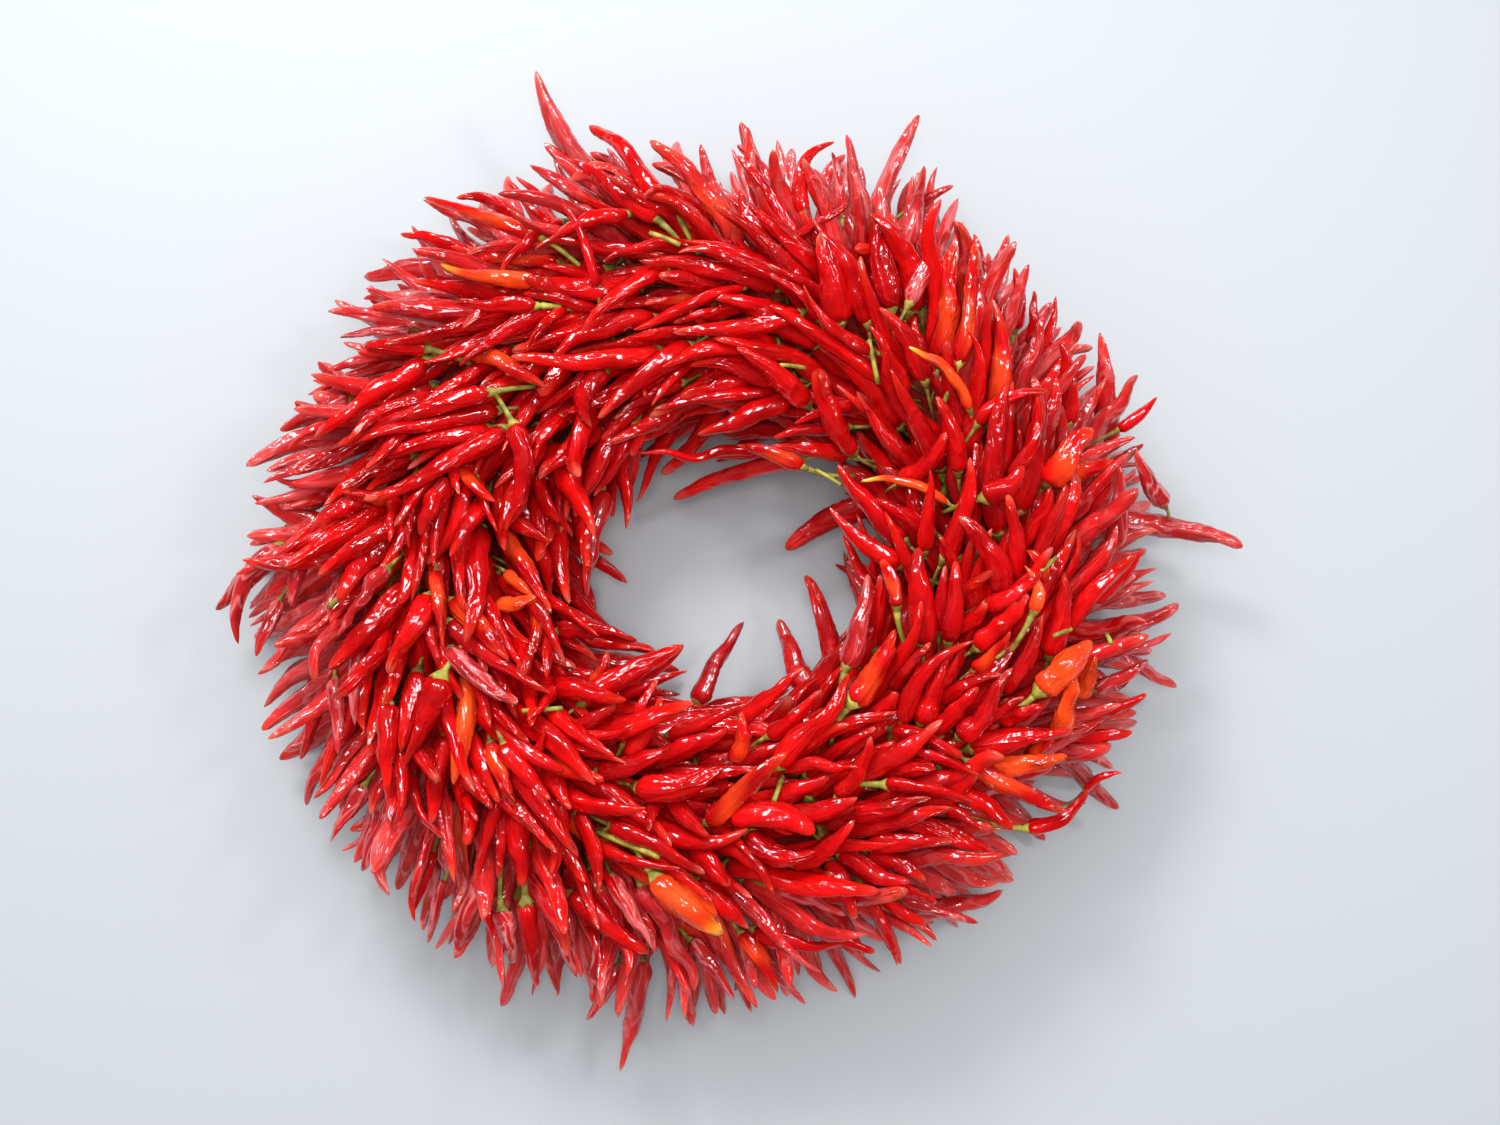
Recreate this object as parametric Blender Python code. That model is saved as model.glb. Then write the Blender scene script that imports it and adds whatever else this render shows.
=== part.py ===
"""A dried chili wreath lying on its back: chilis tied in bundles all round a ring, swirling anticlockwise.

Every chili of the wreath is laid out and settled against its neighbours. Those that stand proud are then
made as bent, tapered solids and fused to the ring, out to the wreath's uneven outline.
"""

import math
from collections import namedtuple

import bmesh
import bpy
import numpy as np
from mathutils import kdtree

MM = 0.001

# The middle of the wreath, a little off the origin because the stray tips are uneven
WREATH_X = -14 * MM
WREATH_Y = 4 * MM

# The ring that the chilis are tied round, and its hole, which sits off the middle
RING_OUTER = 190 * MM
RING_INNER = 110 * MM
HOLE_X = 12 * MM
HOLE_Y = -6 * MM
STRETCH = 5 * MM         # both edges lie this much further out at the sides, and further in above and below
RING_HEIGHT = 80 * MM

# A typical chili, without its stem
CHILI_LENGTH = 70 * MM
CHILI_RADIUS = 7.0 * MM

# Chilis are tied on in lanes along the ring. Angles are in degrees.
# place: where round the ring's section, 0 at its outer edge, 90 at the front, 180 at the hole
# splay: between the chili and the ring's run; lift: where the splay leans, on the same scale as place
# gap: from one chili to the next, in millimetres; perch: how far off the ring they are tied
Lane = namedtuple("Lane", "place splay lift gap perch")
LANES = (
    Lane(-42, 74, -6, 17.0, 0),
    Lane(-20, 70, -3, 16.5, 0),
    Lane(3, 65, 8, 16.5, 0),
    Lane(26, 57, 20, 17.5, 0),
    Lane(47, 45, 36, 19.5, 0),
    Lane(66, 32, 58, 23.0, 0),
    Lane(84, 24, 82, 27.0, 0),
    Lane(101, 22, 104, 28.0, 0),
    Lane(119, 27, 126, 25.0, 0),
    Lane(138, 35, 146, 21.0, 0),
    Lane(158, 41, 162, 19.0, 0),
    Lane(180, 42, 176, 18.5, 0),
    Lane(203, 42, 186, 20.0, 0),
)
# How far from the wreath's middle the photograph shows their tips, every 20 degrees round it from the
# right, in millimetres, and how near to the hole's middle. What would be seen past that is drawn back.
EDGE = (242, 242, 234, 240, 236, 234, 234, 236, 236, 246, 250, 252, 250, 248, 240, 242, 232, 246)
HOLE_EDGE = 62 * MM
DRAWN_BACK = 0.6         # share of the way
ZONE_EDGES = (44, 122)   # places that part the outer, front and hole zones
ZONES = len(ZONE_EDGES) + 1
BUNDLES = 17             # in each zone
TIE_AT = 0.4             # where along its bundle the tie is
GATHER = 0.4             # how far a stem is drawn to it

# How uneven the chilis are: angles in degrees, the rest as shares
GAP_SPREAD = 0.32
PLACE_SPREAD = 6
SPLAY_SPREAD = 9
LIFT_SPREAD = 10
BUNDLE_SPLAY_SPREAD = 9
BUNDLE_LIFT_SPREAD = 11
LENGTH_SPREAD = 0.15
RADIUS_SPREAD = 0.13
BOW_SPREAD = 0.11        # of the length
MOST_UNEVEN = 2.3        # no length, radius or bow is more of its spreads out than this
SEED = 7

# Chilis that stand out of the outline or into the hole. Each is placed by its tip: the angle round the
# wreath, the reach from its middle and the height, then the heading, the length and how far it bows.
# Angles are in degrees and sizes in millimetres.
Stray = namedtuple("Stray", "angle reach height heading length bow")
STRAYS = (
    Stray(109, 287, 66, 118, 78, -3),
    Stray(64, 277, 58, 66, 68, -3),
    Stray(29, 250, 66, 97, 62, 2),
    Stray(22, 256, 72, 56, 60, -3),
    Stray(1, 298, 48, -12, 72, -4),
    Stray(354, 261, 56, 16, 66, 7),
    Stray(345, 274, 26, -19, 62, -5),
    Stray(329, 268, 30, -50, 60, 9),
    Stray(312, 246, 30, 9, 66, 5),
    Stray(296, 246, 38, -65, 64, -4),
    Stray(283, 248, 44, -44, 64, -3),
    Stray(269, 254, 38, -70, 62, -9),
    Stray(261, 283, 26, -101, 66, -4),
    Stray(246, 268, 28, -100, 64, -8),
    Stray(239, 252, 58, -104, 68, -5),
    Stray(212, 257, 32, -122, 64, 4),
    Stray(202, 255, 58, -143, 66, 3),
    Stray(186, 272, 36, -134, 64, -6),
    Stray(169, 254, 60, -160, 70, 8),
    Stray(173, 244, 72, 151, 60, 5),
    Stray(140, 252, 36, -175, 66, 3),
    Stray(128, 255, 54, 157, 66, 5),
    Stray(117, 248, 36, 103, 62, -2),
    Stray(111, 248, 60, 143, 61, 0),
    Stray(85, 244, 62, 114, 80, -4),
    Stray(71, 246, 70, 102, 68, 2),
    Stray(115, 38, 34, -164, 74, 6),
    Stray(7, 47, 34, -152, 56, 5),
    Stray(349, 58, 48, 104, 62, 8),
    Stray(322, 54, 24, 114, 56, -5),
    Stray(303, 42, 32, 61, 54, -4),
    Stray(259, 51, 58, 32, 66, 4),
    Stray(243, 58, 38, -14, 60, 4),
    Stray(200, 67, 52, -97, 62, 5),
    Stray(140, 55, 28, -98, 56, 3),
)
STRAY_ROOT = 44 * MM     # height of a stray chili's stem end
STRAY_ARCH = 2 * MM      # how far its middle is raised
STRAY_GIRTH = (0.85, 1.05)
STRAY = -1               # its lane

# The photograph shows them from this place, aimed at a point right of and below the wreath's middle
PHOTO_X, PHOTO_Y = 750, 562.5   # the photograph's middle, in its pixels
PIXEL = 0.55 * MM               # what a pixel spans at the aim
AIM = (26.4 * MM, -3.85 * MM, 50 * MM)
SIGHT = 950 * MM                # from the camera to the aim
TILT = 7                        # in degrees, from straight above

# Chilis that lie over the others at the front. Each is placed by where the photograph shows its tip and its
# stem end, how far it bows to the right on its way to the tip, and its width, all in pixels. The last number
# is how far it lies over or under the front's usual height, in millimetres.
Front = namedtuple("Front", "tip_x tip_y root_x root_y bow width over")
FRONTS = (
    Front(457, 198, 525, 226, 9, 15, -4),
    Front(527, 203, 560, 235, 0, 12, 0),
    Front(401, 234, 470, 252, 2, 13, -6),
    Front(364, 298, 440, 300, 0, 14, -8),
    Front(377, 308, 450, 325, 0, 12, -6),
    Front(340, 338, 410, 330, 2, 12, -8),
    Front(324, 372, 400, 352, 2, 14, -8),
    Front(296, 402, 350, 425, 0, 14, -8),
    Front(281, 432, 350, 400, 0, 18, -6),
    Front(562, 204, 598, 292, 6, 13, 10),
    Front(530, 165, 600, 206, 0, 20, -6),
    Front(500, 276, 562, 224, 5, 14, 2),
    Front(452, 246, 560, 262, 0, 17, 0),
    Front(543, 266, 605, 288, 4, 14, 0),
    Front(524, 294, 600, 312, 0, 14, 0),
    Front(460, 366, 560, 312, 5, 22, 4),
    Front(526, 350, 566, 306, 3, 13, 6),
    Front(553, 357, 655, 318, 6, 20, 4),
    Front(583, 330, 668, 268, 4, 20, 8),
    Front(603, 262, 700, 252, 10, 18, 6),
    Front(617, 343, 700, 334, 3, 13, 0),
    Front(640, 261, 780, 288, 5, 20, 4),
    Front(686, 242, 795, 276, 3, 20, 6),
    Front(634, 330, 745, 287, 3, 14, 6),
    Front(675, 322, 755, 303, 0, 18, 0),
    Front(673, 333, 800, 314, -9, 20, 8),
    Front(645, 304, 700, 300, 0, 11, 0),
    Front(737, 347, 806, 405, 3, 24, 8),
    Front(770, 274, 818, 320, 3, 15, 8),
    Front(804, 285, 872, 352, -12, 15, 8),
    Front(737, 156, 802, 252, 3, 15, 4),
    Front(740, 190, 775, 262, 0, 20, 0),
    Front(755, 236, 810, 290, 0, 22, 4),
    Front(818, 232, 838, 325, 0, 27, 4),
    Front(812, 219, 868, 325, 9, 27, 6),
    Front(848, 203, 797, 238, 4, 13, 8),
    Front(834, 142, 804, 216, -19, 15, 12),
    Front(832, 152, 842, 214, 2, 11, 2),
    Front(877, 213, 893, 312, 0, 28, 0),
    Front(880, 308, 925, 382, 6, 20, 8),
    Front(869, 325, 905, 395, 2, 18, 4),
    Front(910, 346, 971, 412, 9, 13, 10),
    Front(924, 167, 902, 262, 2, 20, 2),
    Front(953, 186, 905, 212, 0, 12, -4),
    Front(958, 199, 908, 306, 2, 18, 8),
    Front(950, 245, 940, 362, 0, 24, 2),
    Front(974, 236, 984, 345, 3, 17, 0),
    Front(990, 300, 985, 425, 12, 26, 2),
    Front(1008, 236, 968, 330, 2, 14, 0),
    Front(1014, 268, 1015, 330, 4, 16, -2),
    Front(1034, 291, 1030, 345, 2, 13, 0),
    Front(1056, 297, 1038, 360, 4, 14, 0),
    Front(1056, 378, 1035, 450, 3, 22, 2),
    Front(936, 397, 958, 472, 4, 24, 6),
    Front(946, 433, 903, 482, 7, 26, 2),
    Front(970, 458, 944, 560, 8, 22, 6),
    Front(930, 470, 924, 552, 2, 16, 8),
    Front(862, 481, 948, 503, 9, 11, 10),
    Front(918, 548, 923, 645, 0, 28, 6),
    Front(960, 518, 1003, 600, 10, 26, 6),
    Front(1037, 422, 1010, 480, 6, 17, 6),
    Front(1046, 394, 975, 426, -11, 17, 6),
    Front(1060, 343, 1068, 425, 4, 18, 0),
    Front(1092, 428, 1046, 484, 0, 28, 4),
    Front(1115, 461, 1055, 478, 0, 22, 0),
    Front(1118, 465, 1112, 548, 3, 20, 4),
    Front(1143, 444, 1110, 468, 0, 13, 0),
    Front(1136, 449, 1164, 505, -4, 20, 2),
    Front(1157, 397, 1118, 430, 3, 13, -4),
    Front(1006, 495, 1016, 582, 3, 19, 4),
    Front(1044, 571, 985, 606, 4, 18, 10),
    Front(1027, 550, 1043, 584, 4, 15, 4),
    Front(1050, 490, 1018, 548, 5, 22, 0),
    Front(1064, 572, 1048, 655, 2, 24, 0),
    Front(316, 440, 428, 361, 0, 22, 4),
    Front(355, 446, 500, 410, 2, 22, 6),
    Front(362, 459, 490, 430, -2, 20, 2),
    Front(363, 500, 506, 430, -4, 26, 10),
    Front(348, 488, 412, 455, 3, 18, 4),
    Front(340, 493, 398, 502, 0, 15, 0),
    Front(322, 529, 374, 500, 3, 18, 2),
    Front(495, 502, 463, 468, 3, 17, 6),
    Front(497, 531, 478, 482, 2, 12, 6),
    Front(421, 535, 447, 480, 0, 22, 4),
    Front(392, 545, 398, 498, 0, 13, 2),
    Front(410, 550, 414, 490, 0, 15, 2),
    Front(450, 556, 482, 500, 0, 25, 4),
    Front(546, 389, 474, 358, -6, 20, 4),
    Front(512, 357, 660, 352, -10, 20, 4),
    Front(532, 465, 560, 420, 3, 13, 6),
    Front(540, 478, 602, 428, 4, 19, 6),
    Front(560, 525, 537, 478, 2, 22, 2),
    Front(571, 535, 553, 470, 4, 14, 4),
    Front(552, 541, 512, 520, 2, 18, 0),
    Front(459, 494, 452, 462, 0, 13, 4),
    Front(592, 428, 605, 372, 14, 24, 6),
    Front(597, 424, 692, 350, 3, 26, 4),
    Front(615, 419, 682, 382, 3, 18, 6),
    Front(652, 405, 693, 357, 2, 11, 8),
    Front(631, 455, 657, 408, 2, 15, 4),
    Front(654, 409, 776, 389, 2, 15, 6),
    Front(698, 434, 790, 396, -4, 23, 8),
    Front(637, 453, 760, 449, -2, 13, 4),
    Front(772, 446, 850, 456, 2, 17, 6),
    Front(774, 437, 850, 427, 2, 17, 4),
    Front(795, 423, 852, 404, 2, 15, 4),
    Front(818, 370, 852, 452, -7, 28, 8),
    Front(690, 366, 792, 378, 5, 27, 2),
    Front(680, 400, 765, 380, 4, 24, 0),
    Front(577, 508, 620, 420, 0, 22, 4),
    Front(594, 494, 634, 424, 0, 18, 2),
    Front(575, 515, 576, 450, 0, 14, 2),
    Front(320, 578, 412, 520, 3, 25, 4),
    Front(238, 643, 280, 545, 17, 26, 2),
    Front(256, 656, 280, 600, 0, 14, -4),
    Front(292, 605, 310, 540, 2, 20, 0),
    Front(337, 637, 388, 570, 0, 20, 6),
    Front(331, 622, 400, 548, -2, 20, 2),
    Front(330, 672, 410, 585, -4, 26, 4),
    Front(389, 672, 433, 597, 0, 24, 8),
    Front(443, 646, 437, 573, 0, 16, 4),
    Front(403, 752, 418, 672, 0, 24, 4),
    Front(331, 842, 365, 785, 0, 18, 0),
    Front(363, 871, 400, 790, 0, 24, -2),
    Front(380, 882, 402, 820, 0, 14, -6),
    Front(414, 910, 432, 850, 0, 14, -4),
    Front(428, 943, 445, 880, 0, 14, -2),
    Front(453, 785, 471, 670, -3, 26, 2),
    Front(340, 756, 336, 680, -3, 18, 0),
    Front(356, 726, 366, 640, 3, 16, 2),
    Front(512, 662, 455, 602, -3, 22, 4),
    Front(524, 670, 478, 595, 4, 24, 8),
    Front(526, 668, 531, 594, -10, 14, 4),
    Front(537, 598, 498, 604, 3, 15, 6),
    Front(533, 597, 508, 575, 0, 13, 4),
    Front(546, 677, 529, 600, -8, 15, 6),
    Front(552, 693, 450, 622, 5, 19, 8),
    Front(529, 720, 556, 686, -4, 15, 6),
    Front(521, 705, 452, 652, 3, 22, 6),
    Front(529, 742, 482, 684, 5, 19, 6),
    Front(372, 756, 386, 690, 0, 16, 0),
    Front(432, 822, 443, 735, 3, 24, 4),
    Front(445, 840, 412, 772, 9, 15, 6),
    Front(492, 808, 462, 768, 0, 16, 6),
    Front(478, 821, 465, 795, 0, 12, 4),
    Front(476, 886, 502, 793, 2, 15, 8),
    Front(457, 955, 482, 868, 0, 18, 4),
    Front(522, 886, 525, 808, 0, 25, 4),
    Front(551, 874, 541, 795, -13, 26, 6),
    Front(598, 893, 577, 812, -6, 19, 4),
    Front(498, 878, 508, 803, 0, 18, 0),
    Front(516, 806, 495, 744, 0, 21, 6),
    Front(645, 808, 550, 786, 8, 20, 6),
    Front(604, 780, 538, 760, 2, 20, 4),
    Front(706, 874, 612, 825, -3, 18, 6),
    Front(682, 868, 598, 848, 3, 18, 4),
    Front(622, 902, 600, 868, 0, 11, 4),
    Front(655, 950, 612, 875, 0, 18, 0),
    Front(648, 953, 570, 893, -3, 22, 2),
    Front(578, 977, 550, 895, 0, 18, 0),
    Front(592, 1000, 606, 925, 2, 17, -2),
    Front(587, 1020, 618, 965, -2, 14, -4),
    Front(495, 945, 480, 868, 0, 14, 0),
    Front(634, 640, 556, 606, 4, 20, 0),
    Front(637, 641, 556, 632, -6, 16, 2),
    Front(607, 653, 588, 692, 4, 14, 4),
    Front(683, 645, 580, 702, -3, 23, 8),
    Front(687, 671, 618, 700, -3, 11, 2),
    Front(657, 679, 622, 745, 0, 13, 6),
    Front(660, 697, 628, 757, 4, 19, 8),
    Front(615, 705, 560, 735, 4, 17, 4),
    Front(634, 724, 558, 742, 3, 15, 6),
    Front(617, 758, 552, 715, 3, 23, 6),
    Front(625, 762, 534, 736, -3, 19, 4),
    Front(670, 748, 596, 772, 4, 19, 8),
    Front(546, 727, 528, 787, 2, 15, 6),
    Front(727, 729, 648, 760, 3, 21, 6),
    Front(742, 712, 733, 763, 3, 17, 6),
    Front(746, 704, 668, 735, 4, 15, 4),
    Front(803, 668, 738, 722, 2, 19, 4),
    Front(821, 691, 768, 737, 5, 18, 6),
    Front(849, 674, 778, 768, 3, 24, 10),
    Front(788, 752, 708, 824, 0, 20, 10),
    Front(722, 768, 638, 790, 11, 28, 4),
    Front(710, 838, 672, 798, 3, 18, 4),
    Front(648, 833, 657, 798, 0, 16, 4),
    Front(731, 886, 694, 843, 3, 20, 6),
    Front(773, 893, 714, 842, -11, 16, 6),
    Front(815, 832, 735, 812, -5, 30, 4),
    Front(815, 852, 748, 832, 12, 27, 6),
    Front(854, 820, 792, 864, 7, 18, 8),
    Front(858, 768, 780, 764, -3, 16, 6),
    Front(857, 798, 792, 813, 4, 23, 6),
    Front(875, 728, 825, 762, -2, 17, 4),
    Front(871, 736, 838, 797, 5, 18, 8),
    Front(896, 712, 818, 737, -3, 18, 4),
    Front(897, 692, 862, 718, 3, 18, 4),
    Front(838, 465, 905, 542, -3, 21, 6),
    Front(875, 500, 932, 532, 0, 20, 4),
    Front(830, 508, 902, 566, -4, 21, 6),
    Front(945, 567, 940, 632, 0, 14, 4),
    Front(955, 560, 948, 642, 3, 19, 6),
    Front(940, 537, 957, 572, 0, 13, 6),
    Front(880, 575, 874, 650, 0, 18, 0),
    Front(873, 627, 860, 667, 0, 12, 4),
    Front(975, 641, 904, 724, -16, 20, 8),
    Front(930, 643, 893, 690, -2, 17, 4),
    Front(945, 652, 920, 722, 2, 25, 6),
    Front(986, 604, 948, 628, 3, 20, 2),
    Front(1026, 593, 975, 648, 4, 22, 4),
    Front(1042, 616, 1012, 682, 4, 17, 4),
    Front(1010, 632, 975, 672, 3, 14, 4),
    Front(1096, 656, 1078, 697, 0, 20, 0),
    Front(1070, 676, 1055, 735, 4, 22, 4),
    Front(978, 688, 936, 736, -3, 22, 4),
    Front(1012, 668, 958, 738, 3, 23, 6),
    Front(1003, 676, 940, 702, -6, 18, 0),
    Front(1037, 622, 1000, 690, 4, 20, 2),
    Front(1042, 707, 1000, 720, 0, 20, 6),
    Front(1022, 698, 975, 730, -3, 16, 4),
    Front(1070, 730, 968, 748, -3, 25, 6),
    Front(1055, 735, 1025, 757, 0, 14, 0),
    Front(1066, 756, 985, 768, 2, 22, 6),
    Front(1068, 812, 970, 762, 4, 23, 8),
    Front(980, 776, 892, 752, -4, 18, 8),
    Front(1012, 830, 960, 790, -4, 18, 6),
    Front(983, 829, 943, 804, 0, 14, 4),
    Front(962, 757, 893, 730, -2, 21, 6),
    Front(935, 768, 878, 762, 0, 26, 2),
    Front(995, 853, 888, 818, -5, 23, 6),
    Front(952, 842, 868, 846, -3, 20, 6),
    Front(716, 915, 664, 868, -4, 25, 2),
    Front(748, 928, 698, 880, 0, 22, 4),
    Front(778, 992, 742, 932, -3, 18, 2),
    Front(734, 1000, 690, 940, -3, 17, 0),
    Front(875, 952, 806, 922, 2, 14, 2),
    Front(840, 945, 752, 930, 5, 18, 0),
    Front(845, 915, 772, 886, -3, 18, 2),
    Front(855, 920, 830, 860, -2, 18, 4),
    Front(910, 882, 838, 853, 3, 18, 6),
    Front(925, 880, 868, 850, -3, 20, 4),
    Front(897, 965, 860, 882, -3, 18, 4),
    Front(978, 923, 900, 900, 0, 14, -4),
    Front(1122, 773, 1085, 790, -6, 12, -4),
    Front(1131, 732, 1070, 735, 2, 14, -2),
    Front(1146, 694, 1085, 715, 3, 14, -2),
    Front(1148, 660, 1095, 690, 2, 16, -2),
    Front(1172, 633, 1100, 655, 3, 12, 0),
    Front(1144, 548, 1090, 600, 3, 18, 4),
    Front(925, 925, 875, 887, 3, 18, 2),
    Front(694, 990, 640, 885, -4, 20, 2),
)
# The same, for those whose green stem ends show
CAPPED_FRONTS = (
    Front(425, 197, 535, 236, 0, 16, 2),
    Front(548, 240, 629, 214, 4, 16, 4),
    Front(590, 127, 663, 202, 0, 24, 4),
    Front(572, 160, 659, 217, 0, 19, 6),
    Front(1088, 790, 1026, 828, 10, 16, 0),
    Front(441, 264, 537, 281, -8, 16, 6),
    Front(452, 304, 537, 307, -3, 17, 4),
    Front(365, 346, 428, 349, 2, 18, 0),
    Front(972, 248, 956, 366, 4, 19, 6),
    Front(1024, 466, 984, 497, 5, 26, 4),
    Front(1024, 565, 1033, 612, 7, 15, 12),
    Front(338, 447, 492, 392, 5, 18, 4),
    Front(505, 530, 513, 424, -15, 25, 10),
    Front(737, 445, 804, 467, 2, 15, 8),
    Front(442, 676, 427, 622, 0, 14, 2),
    Front(405, 762, 443, 675, 3, 30, 8),
    Front(391, 792, 388, 702, 0, 22, 8),
    Front(549, 799, 504, 744, 4, 20, 4),
    Front(537, 986, 526, 900, 0, 22, 4),
    Front(515, 962, 502, 910, 0, 24, 0),
    Front(895, 630, 852, 703, 4, 28, 8),
    Front(882, 560, 897, 607, 3, 18, 6),
    Front(868, 575, 846, 668, 2, 23, 8),
    Front(1092, 642, 1040, 692, 0, 29, 4),
    Front(972, 803, 884, 785, -4, 20, 6),
    Front(723, 933, 656, 876, 3, 27, 6),
)
FRONT_TOP = 103 * MM     # its height on top of the ring
FRONT_CURVE = 240 * MM   # it falls by the square of the distance from there, over this
FRONT_SINK = 18 * MM     # how much lower the stem end is
CAPPED_SINK = 5 * MM     # the same, where it shows
FRONT_ARCH = 5 * MM
FRONT_HOLD = 0.3         # how far it goes back sideways each round
FRONT = -2               # its lane

# The chili's outline, by its place along the length: 0 at the stem end and 1 at the tip
NECK_SHARE = 0.45        # of the widest radius, at the stem end
SHOULDER_END = 0.13
TAPER_START = 0.2
TAPER_POWER = 1.7
TIP_SHARE = 0.22
BLUNT_START = 0.93

# Settling: each chili is a bent chain of balls, and balls of two chilis that overlap push each other away
BALLS = 7
FIRST_BALL = 0.6             # its place, in steps from the stem end
ROUNDS = 60
PACE = 0.8                   # share of each push that is made
BALL_SHARE = 0.93            # of the chili's own radius, as skins press together
HOLD = (0.09, 0.02, 0.015)   # how far a stem end, middle and tip goes back home each round
CEILING = 112 * MM           # what stands above this is pressed down
PRESS = 0.5                  # share of the way, each round
RING_PUSH = 0.6              # the same, out of the ring
SUNK_UNTIL = 0.1             # the part of a chili that may stay in the ring
CLEAR_FROM = 0.4             # the part that is pushed out of it in full
TINY = 1e-9

# The solid: its ring is fuller than the one they are tied to, and stands in for the chilis not made
SOLID_OUTER = 212 * MM
SOLID_INNER = 97 * MM
SOLID_TOP = 88 * MM
SOLID_LOW = -8 * MM      # the lowest point of its oval section, which is then cut flat at 0
RING_STEPS = 48
SECTION_STEPS = 10
SPREAD = 30.0 * MM       # least distance between two of the chilis made, besides the strays
CHILI_SIDES = 5
CHILI_BANDS = (0.1, 0.5, 0.9)   # places of a chili's rings, from stem end to tip
STEM_RADIUS = 3 * MM
STEM_DEPTH = 18 * MM     # below the stem end, in the ring
FLOOR_GAP = 0.4 * MM     # between the lowest chilis and the floor

SKIN_COLOUR = (0.53, 0.012, 0.01, 1.0)
SKIN_ROUGHNESS = 0.35

Chili = namedtuple("Chili", "root middle tip radius lane")


def clear_scene():
    for obj in list(bpy.data.objects):
        bpy.data.objects.remove(obj, do_unlink=True)


# Laying out the chilis


def unit(vector):
    return vector / np.linalg.norm(vector)


def directions(angle):
    """Along the ring, out from the middle and up, at an angle round the wreath."""
    cosine, sine = math.cos(angle), math.sin(angle)
    return np.array([-sine, cosine, 0.0]), np.array([cosine, sine, 0.0]), np.array([0.0, 0.0, 1.0])


def ring_section(angle, outer=RING_OUTER, inner=RING_INNER):
    """A ring's middle radius and half width, at an angle round the wreath."""
    stretch = STRETCH * np.cos(2 * angle)
    inner = inner + HOLE_X * np.cos(angle) + HOLE_Y * np.sin(angle)
    return (outer + inner) / 2 + stretch, (outer - inner) / 2


def on_ring(angle, place, perch=0.0):
    """A point on the ring's surface, or perch off it. Both angles are in radians."""
    middle, half = ring_section(angle)
    _, out, up = directions(angle)
    height = RING_HEIGHT / 2
    return ((middle + (half + perch) * math.cos(place)) * out
            + (height + (height + perch) * math.sin(place)) * up)


def stray_chili(stray, draw):
    """A chili placed by its tip."""
    angle, heading = math.radians(stray.angle), math.radians(stray.heading)
    _, out, up = directions(angle)
    tip = stray.reach * MM * out + stray.height * MM * up
    rise = stray.height * MM - STRAY_ROOT
    level = math.sqrt((stray.length * MM) ** 2 - rise ** 2)
    way = np.array([math.cos(heading), math.sin(heading), 0.0])
    root = tip - level * way - rise * up
    middle = (root + tip) / 2 + stray.bow * MM * np.cross(way, up) + STRAY_ARCH * up
    radius = CHILI_RADIUS * draw.uniform(*STRAY_GIRTH)
    return Chili(root, middle, tip, radius, STRAY)


def seen_at(x, y, height):
    """The point at a height that the photograph shows at a pixel."""
    tilt = math.radians(TILT)
    up = np.array([0.0, math.cos(tilt), math.sin(tilt)])
    back = np.array([0.0, -math.sin(tilt), math.cos(tilt)])
    eye = np.array(AIM) + SIGHT * back
    ray = (x - PHOTO_X) * PIXEL * np.array([1.0, 0.0, 0.0]) + (PHOTO_Y - y) * PIXEL * up - SIGHT * back
    return eye + (height - eye[2]) / ray[2] * ray


def front_point(x, y, over):
    """The point of the wreath's front that the photograph shows at a pixel."""
    rough = seen_at(x, y, FRONT_TOP)
    middle, _ = ring_section(math.atan2(rough[1], rough[0]))
    away = np.hypot(*rough[:2]) - middle
    return seen_at(x, y, FRONT_TOP - away ** 2 / FRONT_CURVE + over)


def front_chili(front, sink):
    """A chili placed by the photograph, with its stem end lower by the sink."""
    tip = front_point(front.tip_x, front.tip_y, front.over * MM)
    root = front_point(front.root_x, front.root_y, front.over * MM - sink)
    side = unit(np.cross(tip - root, [0, 0, 1]))
    middle = (root + tip) / 2 + 2 * front.bow * PIXEL * side
    middle[2] += FRONT_ARCH
    return Chili(root, middle, tip, front.width * PIXEL / 2, FRONT)


def uneven(draw, spread):
    """A random share either side of 0, never far out."""
    return float(np.clip(draw.normal(0, 1), -MOST_UNEVEN, MOST_UNEVEN)) * spread


def drawn_back(root, tip):
    """A chili's ends, moved off the outline where the photograph would show its tip past it."""
    tilt = math.radians(TILT)
    eye = np.array(AIM) + SIGHT * np.array([0.0, -math.sin(tilt), math.cos(tilt)])
    seen = eye + (AIM[2] - eye[2]) / (tip[2] - eye[2]) * (tip - eye)
    angle = math.atan2(seen[1], seen[0])
    edge = np.interp(math.degrees(angle), np.arange(0, 360, 360 / len(EDGE)), EDGE, period=360)
    outside = max(np.hypot(*seen[:2]) - edge * MM, 0)
    from_hole = seen - np.array([HOLE_X, HOLE_Y, seen[2]])
    inside = max(HOLE_EDGE - np.linalg.norm(from_hole), 0)
    move = DRAWN_BACK * (inside * unit(from_hole) - outside * directions(angle)[1])
    return root + move, tip + move


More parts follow.
